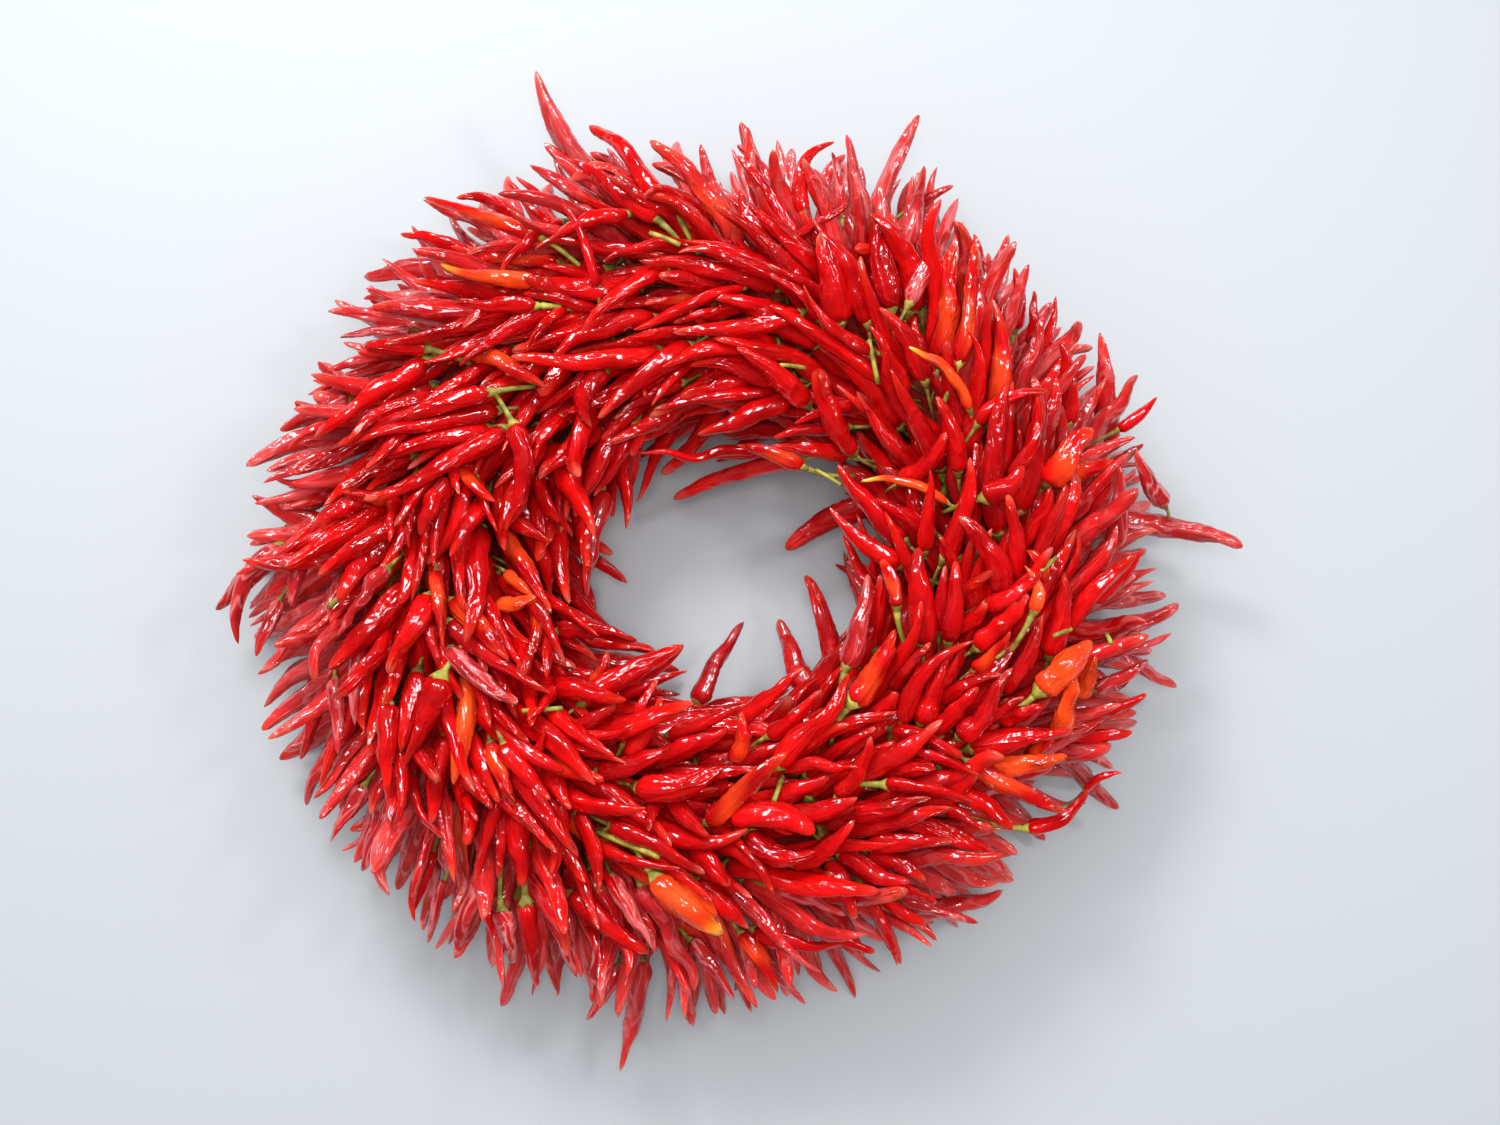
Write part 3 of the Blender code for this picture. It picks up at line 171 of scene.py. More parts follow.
# Chilis that lie over the others at the front. Each is placed by where the photograph shows its tip and
# its stem end, how far it bows to the right on its way to the tip, and its width, all in pixels. Then come
# how far it lies over or under the front's usual height, in millimetres, and its tone where it isn't red.
Front = namedtuple("Front", "tip_x tip_y root_x root_y bow width over tone", defaults=["red"])
FRONTS = tuple(Front(*row) for row in (
    (457, 198, 525, 226, 9, 15, -4), (527, 203, 560, 235, 0, 12, 0), (401, 234, 470, 252, 2, 13, -6),
    (364, 298, 440, 300, 0, 14, -8, "rose"), (377, 308, 450, 325, 0, 12, -6, "rose"),
    (340, 338, 410, 330, 2, 12, -8, "rose"), (324, 372, 400, 352, 2, 14, -8, "rose"),
    (296, 402, 350, 425, 0, 14, -8, "rose"), (281, 432, 350, 400, 0, 18, -6, "rose"),
    (562, 204, 598, 292, 6, 13, 10), (530, 165, 600, 206, 0, 20, -6, "rose"),
    (500, 276, 562, 224, 5, 14, 2), (452, 246, 560, 262, 0, 17, 0, "flame"),
    (543, 266, 605, 288, 4, 14, 0), (524, 294, 600, 312, 0, 14, 0), (460, 366, 560, 312, 5, 22, 4),
    (526, 350, 566, 306, 3, 13, 6), (553, 357, 655, 318, 6, 20, 4), (583, 330, 668, 268, 4, 20, 8),
    (603, 262, 700, 252, 10, 18, 6), (617, 343, 700, 334, 3, 13, 0), (640, 261, 780, 288, 5, 20, 4),
    (686, 242, 795, 276, 3, 20, 6), (634, 330, 745, 287, 3, 14, 6), (675, 322, 755, 303, 0, 18, 0),
    (673, 333, 800, 314, -9, 20, 8), (645, 304, 700, 300, 0, 11, 0, "flame"),
    (737, 347, 806, 405, 3, 24, 8), (770, 274, 818, 320, 3, 15, 8), (804, 285, 872, 352, -12, 15, 8),
    (737, 156, 802, 252, 3, 15, 4), (740, 190, 775, 262, 0, 20, 0), (755, 236, 810, 290, 0, 22, 4),
    (818, 232, 838, 325, 0, 27, 4), (812, 219, 868, 325, 9, 27, 6), (848, 203, 797, 238, 4, 13, 8),
    (834, 142, 804, 216, -19, 15, 12), (832, 152, 842, 214, 2, 11, 2, "rose"),
    (877, 213, 893, 312, 0, 28, 0), (880, 308, 925, 382, 6, 20, 8), (869, 325, 905, 395, 2, 18, 4),
    (910, 346, 971, 412, 9, 13, 10, "amber"), (924, 167, 902, 262, 2, 20, 2, "rose"),
    (953, 186, 905, 212, 0, 12, -4), (958, 199, 908, 306, 2, 18, 8, "rose"),
    (950, 245, 940, 362, 0, 24, 2, "flame"), (974, 236, 984, 345, 3, 17, 0),
    (990, 300, 985, 425, 12, 26, 2, "flame"), (1008, 236, 968, 330, 2, 14, 0, "rose"),
    (1014, 268, 1015, 330, 4, 16, -2), (1034, 291, 1030, 345, 2, 13, 0), (1056, 297, 1038, 360, 4, 14, 0),
    (1056, 378, 1035, 450, 3, 22, 2), (936, 397, 958, 472, 4, 24, 6), (946, 433, 903, 482, 7, 26, 2),
    (970, 458, 944, 560, 8, 22, 6), (930, 470, 924, 552, 2, 16, 8),
    (862, 481, 948, 503, 9, 11, 10, "amber"), (918, 548, 923, 645, 0, 28, 6),
    (960, 518, 1003, 600, 10, 26, 6), (1037, 422, 1010, 480, 6, 17, 6), (1046, 394, 975, 426, -11, 17, 6),
    (1060, 343, 1068, 425, 4, 18, 0), (1092, 428, 1046, 484, 0, 28, 4, "flame"),
    (1115, 461, 1055, 478, 0, 22, 0, "flame"), (1118, 465, 1112, 548, 3, 20, 4, "rose"),
    (1143, 444, 1110, 468, 0, 13, 0, "rose"), (1136, 449, 1164, 505, -4, 20, 2, "rose"),
    (1157, 397, 1118, 430, 3, 13, -4), (1006, 495, 1016, 582, 3, 19, 4), (1044, 571, 985, 606, 4, 18, 10),
    (1027, 550, 1043, 584, 4, 15, 4, "flame"), (1050, 490, 1018, 548, 5, 22, 0),
    (1064, 572, 1048, 655, 2, 24, 0), (316, 440, 428, 361, 0, 22, 4), (355, 446, 500, 410, 2, 22, 6),
    (362, 459, 490, 430, -2, 20, 2), (363, 500, 506, 430, -4, 26, 10), (348, 488, 412, 455, 3, 18, 4),
    (340, 493, 398, 502, 0, 15, 0, "flame"), (322, 529, 374, 500, 3, 18, 2),
    (495, 502, 463, 468, 3, 17, 6, "flame"), (497, 531, 478, 482, 2, 12, 6),
    (421, 535, 447, 480, 0, 22, 4), (392, 545, 398, 498, 0, 13, 2), (410, 550, 414, 490, 0, 15, 2),
    (450, 556, 482, 500, 0, 25, 4), (546, 389, 474, 358, -6, 20, 4, "flame"),
    (512, 357, 660, 352, -10, 20, 4), (532, 465, 560, 420, 3, 13, 6), (540, 478, 602, 428, 4, 19, 6),
    (560, 525, 537, 478, 2, 22, 2), (571, 535, 553, 470, 4, 14, 4), (552, 541, 512, 520, 2, 18, 0),
    (459, 494, 452, 462, 0, 13, 4), (592, 428, 605, 372, 14, 24, 6), (597, 424, 692, 350, 3, 26, 4),
    (615, 419, 682, 382, 3, 18, 6), (652, 405, 693, 357, 2, 11, 8), (631, 455, 657, 408, 2, 15, 4),
    (654, 409, 776, 389, 2, 15, 6), (698, 434, 790, 396, -4, 23, 8), (637, 453, 760, 449, -2, 13, 4),
    (772, 446, 850, 456, 2, 17, 6), (774, 437, 850, 427, 2, 17, 4), (795, 423, 852, 404, 2, 15, 4),
    (818, 370, 852, 452, -7, 28, 8), (690, 366, 792, 378, 5, 27, 2), (680, 400, 765, 380, 4, 24, 0),
    (577, 508, 620, 420, 0, 22, 4), (594, 494, 634, 424, 0, 18, 2), (575, 515, 576, 450, 0, 14, 2),
    (320, 578, 412, 520, 3, 25, 4), (238, 643, 280, 545, 17, 26, 2, "rose"),
    (256, 656, 280, 600, 0, 14, -4, "rose"), (292, 605, 310, 540, 2, 20, 0, "rose"),
    (337, 637, 388, 570, 0, 20, 6, "rose"), (331, 622, 400, 548, -2, 20, 2),
    (330, 672, 410, 585, -4, 26, 4), (389, 672, 433, 597, 0, 24, 8),
    (443, 646, 437, 573, 0, 16, 4, "flame"), (403, 752, 418, 672, 0, 24, 4),
    (331, 842, 365, 785, 0, 18, 0, "rose"), (363, 871, 400, 790, 0, 24, -2, "rose"),
    (380, 882, 402, 820, 0, 14, -6, "rose"), (414, 910, 432, 850, 0, 14, -4),
    (428, 943, 445, 880, 0, 14, -2, "rose"), (453, 785, 471, 670, -3, 26, 2, "orange"),
    (340, 756, 336, 680, -3, 18, 0, "rose"), (356, 726, 366, 640, 3, 16, 2, "rose"),
    (512, 662, 455, 602, -3, 22, 4, "flame"), (524, 670, 478, 595, 4, 24, 8),
    (526, 668, 531, 594, -10, 14, 4, "flame"), (537, 598, 498, 604, 3, 15, 6, "orange"),
    (533, 597, 508, 575, 0, 13, 4, "orange"), (546, 677, 529, 600, -8, 15, 6),
    (552, 693, 450, 622, 5, 19, 8), (529, 720, 556, 686, -4, 15, 6),
    (521, 705, 452, 652, 3, 22, 6, "rose"), (529, 742, 482, 684, 5, 19, 6),
    (372, 756, 386, 690, 0, 16, 0), (432, 822, 443, 735, 3, 24, 4), (445, 840, 412, 772, 9, 15, 6),
    (492, 808, 462, 768, 0, 16, 6), (478, 821, 465, 795, 0, 12, 4), (476, 886, 502, 793, 2, 15, 8),
    (457, 955, 482, 868, 0, 18, 4, "rose"), (522, 886, 525, 808, 0, 25, 4),
    (551, 874, 541, 795, -13, 26, 6), (598, 893, 577, 812, -6, 19, 4), (498, 878, 508, 803, 0, 18, 0),
    (516, 806, 495, 744, 0, 21, 6, "flame"), (645, 808, 550, 786, 8, 20, 6),
    (604, 780, 538, 760, 2, 20, 4, "flame"), (706, 874, 612, 825, -3, 18, 6),
    (682, 868, 598, 848, 3, 18, 4), (622, 902, 600, 868, 0, 11, 4),
    (655, 950, 612, 875, 0, 18, 0, "rose"), (648, 953, 570, 893, -3, 22, 2),
    (578, 977, 550, 895, 0, 18, 0, "rose"), (592, 1000, 606, 925, 2, 17, -2, "rose"),
    (587, 1020, 618, 965, -2, 14, -4, "rose"), (495, 945, 480, 868, 0, 14, 0),
    (634, 640, 556, 606, 4, 20, 0), (637, 641, 556, 632, -6, 16, 2),
    (607, 653, 588, 692, 4, 14, 4, "flame"), (683, 645, 580, 702, -3, 23, 8),
    (687, 671, 618, 700, -3, 11, 2), (657, 679, 622, 745, 0, 13, 6), (660, 697, 628, 757, 4, 19, 8),
    (615, 705, 560, 735, 4, 17, 4), (634, 724, 558, 742, 3, 15, 6), (617, 758, 552, 715, 3, 23, 6),
    (625, 762, 534, 736, -3, 19, 4), (670, 748, 596, 772, 4, 19, 8), (546, 727, 528, 787, 2, 15, 6),
    (727, 729, 648, 760, 3, 21, 6), (742, 712, 733, 763, 3, 17, 6, "flame"),
    (746, 704, 668, 735, 4, 15, 4), (803, 668, 738, 722, 2, 19, 4), (821, 691, 768, 737, 5, 18, 6),
    (849, 674, 778, 768, 3, 24, 10), (788, 752, 708, 824, 0, 20, 10, "flame"),
    (722, 768, 638, 790, 11, 28, 4), (710, 838, 672, 798, 3, 18, 4), (648, 833, 657, 798, 0, 16, 4),
    (731, 886, 694, 843, 3, 20, 6), (773, 893, 714, 842, -11, 16, 6), (815, 832, 735, 812, -5, 30, 4),
    (815, 852, 748, 832, 12, 27, 6), (854, 820, 792, 864, 7, 18, 8), (858, 768, 780, 764, -3, 16, 6),
    (857, 798, 792, 813, 4, 23, 6), (875, 728, 825, 762, -2, 17, 4), (871, 736, 838, 797, 5, 18, 8),
    (896, 712, 818, 737, -3, 18, 4), (897, 692, 862, 718, 3, 18, 4), (838, 465, 905, 542, -3, 21, 6),
    (875, 500, 932, 532, 0, 20, 4), (830, 508, 902, 566, -4, 21, 6), (945, 567, 940, 632, 0, 14, 4),
    (955, 560, 948, 642, 3, 19, 6), (940, 537, 957, 572, 0, 13, 6), (880, 575, 874, 650, 0, 18, 0),
    (873, 627, 860, 667, 0, 12, 4), (975, 641, 904, 724, -16, 20, 8), (930, 643, 893, 690, -2, 17, 4),
    (945, 652, 920, 722, 2, 25, 6), (986, 604, 948, 628, 3, 20, 2), (1026, 593, 975, 648, 4, 22, 4),
    (1042, 616, 1012, 682, 4, 17, 4), (1010, 632, 975, 672, 3, 14, 4, "flame"),
    (1096, 656, 1078, 697, 0, 20, 0, "orange"), (1070, 676, 1055, 735, 4, 22, 4, "orange"),
    (978, 688, 936, 736, -3, 22, 4), (1012, 668, 958, 738, 3, 23, 6), (1003, 676, 940, 702, -6, 18, 0),
    (1037, 622, 1000, 690, 4, 20, 2), (1042, 707, 1000, 720, 0, 20, 6), (1022, 698, 975, 730, -3, 16, 4),
    (1070, 730, 968, 748, -3, 25, 6), (1055, 735, 1025, 757, 0, 14, 0, "flame"),
    (1066, 756, 985, 768, 2, 22, 6, "orange"), (1068, 812, 970, 762, 4, 23, 8, "flame"),
    (980, 776, 892, 752, -4, 18, 8), (1012, 830, 960, 790, -4, 18, 6), (983, 829, 943, 804, 0, 14, 4),
    (962, 757, 893, 730, -2, 21, 6), (935, 768, 878, 762, 0, 26, 2), (995, 853, 888, 818, -5, 23, 6),
    (952, 842, 868, 846, -3, 20, 6), (716, 915, 664, 868, -4, 25, 2, "orange"),
    (748, 928, 698, 880, 0, 22, 4), (778, 992, 742, 932, -3, 18, 2, "flame"),
    (734, 1000, 690, 940, -3, 17, 0, "rose"), (875, 952, 806, 922, 2, 14, 2),
    (840, 945, 752, 930, 5, 18, 0), (845, 915, 772, 886, -3, 18, 2, "rose"),
    (855, 920, 830, 860, -2, 18, 4), (910, 882, 838, 853, 3, 18, 6), (925, 880, 868, 850, -3, 20, 4),
    (897, 965, 860, 882, -3, 18, 4), (978, 923, 900, 900, 0, 14, -4, "rose"),
    (1122, 773, 1085, 790, -6, 12, -4), (1131, 732, 1070, 735, 2, 14, -2),
    (1146, 694, 1085, 715, 3, 14, -2), (1148, 660, 1095, 690, 2, 16, -2, "rose"),
    (1172, 633, 1100, 655, 3, 12, 0, "rose"), (1144, 548, 1090, 600, 3, 18, 4),
    (925, 925, 875, 887, 3, 18, 2), (694, 990, 640, 885, -4, 20, 2, "rose"),
))
# The same, for those whose green stem ends show
CAPPED_FRONTS = tuple(Front(*row) for row in (
    (425, 197, 535, 236, 0, 16, 2, "flame"), (548, 240, 629, 214, 4, 16, 4),
    (590, 127, 663, 202, 0, 24, 4), (572, 160, 659, 217, 0, 19, 6), (1088, 790, 1026, 828, 10, 16, 0),
    (441, 264, 537, 281, -8, 16, 6, "amber"), (452, 304, 537, 307, -3, 17, 4),
    (365, 346, 428, 349, 2, 18, 0), (972, 248, 956, 366, 4, 19, 6, "flame"),
    (1024, 466, 984, 497, 5, 26, 4), (1024, 565, 1033, 612, 7, 15, 12, "orange"),
    (338, 447, 492, 392, 5, 18, 4), (505, 530, 513, 424, -15, 25, 10),
    (737, 445, 804, 467, 2, 15, 8, "flame"), (442, 676, 427, 622, 0, 14, 2),
    (405, 762, 443, 675, 3, 30, 8), (391, 792, 388, 702, 0, 22, 8), (549, 799, 504, 744, 4, 20, 4),
    (537, 986, 526, 900, 0, 22, 4), (515, 962, 502, 910, 0, 24, 0, "rose"),
    (895, 630, 852, 703, 4, 28, 8, "flame"), (882, 560, 897, 607, 3, 18, 6, "flame"),
    (868, 575, 846, 668, 2, 23, 8, "rose"), (1092, 642, 1040, 692, 0, 29, 4, "orange"),
    (972, 803, 884, 785, -4, 20, 6), (723, 933, 656, 876, 3, 27, 6, "amber"),
))
# Stalks that show in the gaps with no chili of their own, placed in the same way, each end with its height
Strip = namedtuple("Strip", "start_x start_y start_over end_x end_y end_over width")
LOOSE_STALKS = (
    Strip(597, 832, -14, 660, 857, 3, 6),
    Strip(650, 233, 1, 680, 245, 2, 5),
    Strip(869, 340, -8, 878, 384, -8, 5),
    Strip(780, 365, 3, 805, 368, -7, 4),
    Strip(329, 607, 2, 347, 593, 8, 6),
    Strip(522, 711, 1, 562, 708, 1, 5),
    Strip(1040, 571, 8, 1056, 558, -4, 5),
    Strip(1053, 636, -3, 1071, 629, -4, 5),
    Strip(996, 658, -4, 1004, 651, -5, 5),
    Strip(1111, 644, 0, 1106, 634, -9, 5),
    Strip(816, 470, 0, 841, 485, 7, 4),
    Strip(783, 775, -11, 774, 801, 2, 5),
)
FRONT_TOP = 103 * MM     # its height on top of the ring
FRONT_CURVE = 240 * MM   # it falls by the square of the distance from there, over this
FRONT_SINK = 18 * MM     # how much lower the stem end is
CAPPED_SINK = 5 * MM     # the same, where it shows
FRONT_ARCH = 5 * MM
FRONT_HOLD = 0.3         # how far it goes back sideways each round
FRONT = -2               # its lane
CAPPED = -3              # the same, where the stem end shows

# The chili's outline, by its place along the length: 0 at the stem end and 1 at the tip
NECK_SHARE = 0.45        # of the widest radius, at the stem end
SHOULDER_END = 0.13
TAPER_START = 0.2
TAPER_POWER = 1.7
TIP_SHARE = 0.22
BLUNT_START = 0.93

# Settling: each chili is a bent chain of balls, and balls of two chilis that overlap push each other away
BALLS = 7
FIRST_BALL = 0.6             # its place, in steps from the stem end
ROUNDS = 60
PACE = 0.8                   # share of each push that is made
BALL_SHARE = 0.93            # of the chili's own radius, as skins press together
HOLD = (0.09, 0.02, 0.015)   # how far a stem end, middle and tip goes back home each round
CEILING = 112 * MM           # what stands above this is pressed down
PRESS = 0.5                  # share of the way, each round
RING_PUSH = 0.6              # the same, out of the ring
SUNK_UNTIL = 0.1             # the part of a chili that may stay in the ring
CLEAR_FROM = 0.4             # the part that is pushed out of it in full
TINY = 1e-9
UPRIGHT = 0.9                # from this much rise in a length of 1, a way counts as upright

# What makes one chili unlike the next. Angles are in degrees and the rest are shares.
FORM_SEED = 11
THINNEST = 0.70              # of the settled radius, for the driest chilis
HOOK_SPREAD = 17             # how far a tip turns aside
MOST_HOOK = 62
HOOK_START = (0.5, 0.8)      # where along the length it begins
PLACED_HOOK = 0.3            # share of the turn that is left to a chili placed by the photograph
TIED_SHIFT = 0.6             # share of the way that the tip of one tied by rule goes back to its place
KINK_SPREAD = 7
KINKS = (1.0, 2.6)           # waves of kinks along the length
TAPER_POWERS = (1.2, 2.5)
TIP_SHARES = (0.10, 0.38)
LUMP_SPREAD = 0.035
LUMP_WAVES = (1.3, 2.4, 3.5)
FLAT_MOST = 0.34
FLAT_WIDENS = 0.45           # how much wider a skin grows as it is pressed flat
NECK_PINCH = 0.3             # how much narrower it is at the stem end
NECK_LENGTH = 0.05
CREASES = 4
CREASE_MIDDLE = (0.15, 1.0)
CREASE_DEPTH = (0.08, 0.38)
CREASE_WIDTH = (14, 34)
CREASE_LENGTH = (0.12, 0.34)
TWIST_SPREAD = 55            # of creases and flattening, from stem to tip
RIPPLE = 0.045
FINE_RIPPLE = 0.6            # share of the ripple
RIPPLES = ((6.5, 2), (3.7, -3), (10.3, 3), (2.1, 4))   # waves along the length, and round it
THIN_SHAPE = (2.2, 1.1)      # of the beta draws
FLAT_SHAPE = (1.2, 2.0)
PALE_SHAPE = (0.6, 2.2)
WRINKLES = (0.25, 1.0)
FRESHNESS = (0.35, 1.0)
LEAST_HEIGHT = 0.3 * MM      # above the floor

Detail = namedtuple("Detail", "steps sides")
FINE = Detail(30, 14)
MIDDLING = Detail(28, 14)
FRONT_DETAIL = Detail(26, 13)
PLAIN = Detail(20, 10)
PIECES = (
    # name, lanes, detail, skin
    ("rim_chilis", (1, 2, STRAY), FINE, "dusty"),
    ("shoulder_chilis", (3, 4), MIDDLING, "glossy"),
    ("crown_chilis", (5, 6, 7), MIDDLING, "glossy"),
    ("front_chilis", (FRONT, CAPPED), FRONT_DETAIL, "glossy"),
    ("hole_chilis", (8, 9, 10, 11), MIDDLING, "glossy"),
    ("back_chilis", (0, 12, 13, 14, 15, 16), PLAIN, "dusty"),
)

Chili = namedtuple("Chili", "root middle tip radius lane tone", defaults=["red"])


# Laying out the chilis


def unit(vector):
    """A vector's direction."""
    return vector / np.linalg.norm(vector)


def directions(angle):
    """Along the ring, out from the middle and up, at an angle round the wreath."""
    cosine, sine = math.cos(angle), math.sin(angle)
    return np.array([-sine, cosine, 0.0]), np.array([cosine, sine, 0.0]), np.array([0.0, 0.0, 1.0])


def ring_section(angle):
    """The ring's middle radius and half width, at an angle round the wreath."""
    stretch = STRETCH * np.cos(2 * angle)
    inner = RING_INNER + HOLE_X * np.cos(angle) + HOLE_Y * np.sin(angle)
    return (RING_OUTER + inner) / 2 + stretch, (RING_OUTER - inner) / 2


def on_ring(angle, place, perch=0.0):
    """A point on the ring's surface, or perch off it. Both angles are in radians."""
    middle, half = ring_section(angle)
    _, out, up = directions(angle)
    height = RING_HEIGHT / 2
    return ((middle + (half + perch) * math.cos(place)) * out
            + (height + (height + perch) * math.sin(place)) * up)


def stray_chili(stray, draw):
    """A chili placed by its tip."""
    angle, heading = math.radians(stray.angle), math.radians(stray.heading)
    _, out, up = directions(angle)
    tip = stray.reach * MM * out + stray.height * MM * up
    rise = stray.height * MM - STRAY_ROOT
    level = math.sqrt((stray.length * MM) ** 2 - rise ** 2)
    way = np.array([math.cos(heading), math.sin(heading), 0.0])
    root = tip - level * way - rise * up
    middle = (root + tip) / 2 + stray.bow * MM * np.cross(way, up) + STRAY_ARCH * up
    radius = CHILI_RADIUS * draw.uniform(*STRAY_GIRTH)
    return Chili(root, middle, tip, radius, STRAY)


def camera_place():
    """Where the photograph was taken from, with its upward direction and the way back from the aim."""
    tilt = math.radians(TILT)
    up = np.array([0.0, math.cos(tilt), math.sin(tilt)])
    back = np.array([0.0, -math.sin(tilt), math.cos(tilt)])
    return np.array(AIM) + SIGHT * back, up, back


def seen_at(x, y, height):
    """The point at a height that the photograph shows at a pixel."""
    eye, up, back = camera_place()
    ray = (x - PHOTO_X) * PIXEL * np.array([1.0, 0.0, 0.0]) + (PHOTO_Y - y) * PIXEL * up - SIGHT * back
    return eye + (height - eye[2]) / ray[2] * ray


def front_point(x, y, over):
    """The point of the wreath's front that the photograph shows at a pixel."""
    rough = seen_at(x, y, FRONT_TOP)
    middle, _ = ring_section(math.atan2(rough[1], rough[0]))
    away = np.hypot(*rough[:2]) - middle
    return seen_at(x, y, FRONT_TOP - away ** 2 / FRONT_CURVE + over)


def front_chili(front, sink, lane):
    """A chili placed by the photograph, with its stem end lower by the sink."""
    tip = front_point(front.tip_x, front.tip_y, front.over * MM)
    root = front_point(front.root_x, front.root_y, front.over * MM - sink)
    side = unit(np.cross(tip - root, [0, 0, 1]))
    middle = (root + tip) / 2 + 2 * front.bow * PIXEL * side
    middle[2] += FRONT_ARCH
    return Chili(root, middle, tip, front.width * PIXEL / 2, lane, front.tone)


def uneven(draw, spread):
    """A random share either side of 0, never far out."""
    return float(np.clip(draw.normal(0, 1), -MOST_UNEVEN, MOST_UNEVEN)) * spread


def drawn_back(root, tip):
    """A chili's ends, moved off the outline where the photograph would show its tip past it."""
    eye, _, _ = camera_place()
    seen = eye + (AIM[2] - eye[2]) / (tip[2] - eye[2]) * (tip - eye)
    angle = math.atan2(seen[1], seen[0])
    edge = np.interp(math.degrees(angle), np.arange(0, 360, 360 / len(EDGE)), EDGE, period=360)
    outside = max(np.hypot(*seen[:2]) - edge * MM, 0)
    from_hole = seen - np.array([HOLE_X, HOLE_Y, seen[2]])
    inside = max(HOLE_EDGE - np.linalg.norm(from_hole), 0)
    move = DRAWN_BACK * (inside * unit(from_hole) - outside * directions(angle)[1])
    return root + move, tip + move


def tied_chili(lane, number, count, phase, leans, draw):
    """One chili of a lane, with its stem drawn to the bundle's tie."""
    turn = (number + draw.uniform(-GAP_SPREAD, GAP_SPREAD)) / count + phase
    angle = 2 * math.pi * turn
    place = math.radians(lane.place + draw.normal(0, PLACE_SPREAD))
    zone = sum(lane.place > edge for edge in ZONE_EDGES)
    bundle = (turn * BUNDLES + zone / ZONES) % BUNDLES
    lean = leans[zone, int(bundle)]
    splay = math.radians(lane.splay + draw.laplace(0, SPLAY_SPREAD) + BUNDLE_SPLAY_SPREAD * lean[0])
    lift = math.radians(lane.lift + draw.laplace(0, LIFT_SPREAD) + BUNDLE_LIFT_SPREAD * lean[1])
    length = CHILI_LENGTH * (1 + uneven(draw, LENGTH_SPREAD))
    radius = CHILI_RADIUS * (1 + uneven(draw, RADIUS_SPREAD))
    along, out, up = directions(angle)
    root = on_ring(angle, place, lane.perch * MM)
    way = math.cos(splay) * along + math.sin(splay) * (math.cos(lift) * out + math.sin(lift) * up)
    tip = root + length * way
    tie = on_ring(angle + (TIE_AT - bundle % 1) * 2 * math.pi / BUNDLES, place, lane.perch * MM)
    root = root + GATHER * (tie - root)
    way = unit(tip - root)
    root, tip = drawn_back(root, root + length * way)
    side = unit(np.cross(way, draw.normal(0, 1, 3)))
    middle = (root + tip) / 2 + length * uneven(draw, BOW_SPREAD) * side
    return Chili(root, middle, tip, radius, (LANES + BACK_LANES).index(lane))


def lane_chilis(lanes, leans, draw):
    """The chilis of some lanes, nearly evenly spaced round the ring."""
    chilis = []
    for lane in lanes:
        radius = np.hypot(*on_ring(0.0, math.radians(lane.place))[:2])
        count = round(2 * math.pi * radius / (lane.gap * MM))
        phase = draw.uniform(0, 1)
        chilis += [tied_chili(lane, k, count, phase, leans, draw) for k in range(count)]
    return chilis


def lay_out():
    """Every chili of the wreath before settling, the strays first and those of the back last."""
    draw = np.random.default_rng(SEED)
    chilis = [stray_chili(stray, draw) for stray in STRAYS]
    chilis += [front_chili(front, FRONT_SINK, FRONT) for front in FRONTS]
    chilis += [front_chili(front, CAPPED_SINK, CAPPED) for front in CAPPED_FRONTS]
    leans = draw.normal(0, 1, (ZONES, BUNDLES, 2))
    chilis += lane_chilis(LANES, leans, draw)
    return chilis, lane_chilis(BACK_LANES, leans, draw)


# Settling them


def girth(t, taper_power=TAPER_POWER, tip_share=TIP_SHARE):
    """A chili's radius at places along its length, as a share of its widest."""
    t = np.asarray(t, float)
    bulge = np.sqrt(1 - (1 - np.clip(t / SHOULDER_END, 0, 1)) ** 2)
    shoulder = NECK_SHARE + (1 - NECK_SHARE) * bulge
    taper = 1 - (1 - tip_share) * np.clip((t - TAPER_START) / (1 - TAPER_START), 0, 1) ** taper_power
    blunt = np.sqrt(1 - np.clip((t - BLUNT_START) / (1 - BLUNT_START), 0, 1) ** 2)
    return shoulder * taper * blunt


def touching(points, radii, owner):
    """Pairs of balls, of two chilis, that overlap."""
    tree = kdtree.KDTree(len(points))
    for index, point in enumerate(points):
        tree.insert(point, index)
    tree.balance()
    widest = radii.max()
    pairs = [(i, j) for i, point in enumerate(points)
             for _, j, gap in tree.find_range(point, radii[i] + widest)
             if i < j and owner[i] != owner[j] and gap < radii[i] + radii[j]]
    return np.array(pairs, int).reshape(-1, 2)


def off_ring(balls, t):
    """The moves that lift balls out of the ring. Stem ends may stay in it."""
    angle = np.arctan2(balls[:, 1], balls[:, 0])
    middle, half = ring_section(angle)
    across = (np.hypot(balls[:, 0], balls[:, 1]) - middle) / half
    above = balls[:, 2] / (RING_HEIGHT / 2) - 1
    far = np.hypot(across, above) + TINY
    due = np.clip((t - SUNK_UNTIL) / (CLEAR_FROM - SUNK_UNTIL), 0, 1)
    lift = RING_PUSH * due * np.clip(1 - far, 0, None) * half / far
    return np.stack([lift * across * np.cos(angle), lift * across * np.sin(angle), lift * above], 1)


def pushes(balls, radii, owner, loose):
    """The moves that part overlapping balls. Where one isn't loose, the other moves twice as far."""
    a, b = touching(balls, radii, owner).T
    gap = balls[b] - balls[a]
    far = np.linalg.norm(gap, axis=1) + TINY
    push = gap * ((radii[a] + radii[b] - far) / far / 2)[:, None]
    move = np.zeros_like(balls)
    np.add.at(move, a, -push * (2 - loose[owner[b]])[:, None])
    np.add.at(move, b, push * (2 - loose[owner[a]])[:, None])
    hits = np.bincount(np.concatenate([a, b]), minlength=len(balls))
    return move / np.sqrt(np.maximum(hits, 1))[:, None]


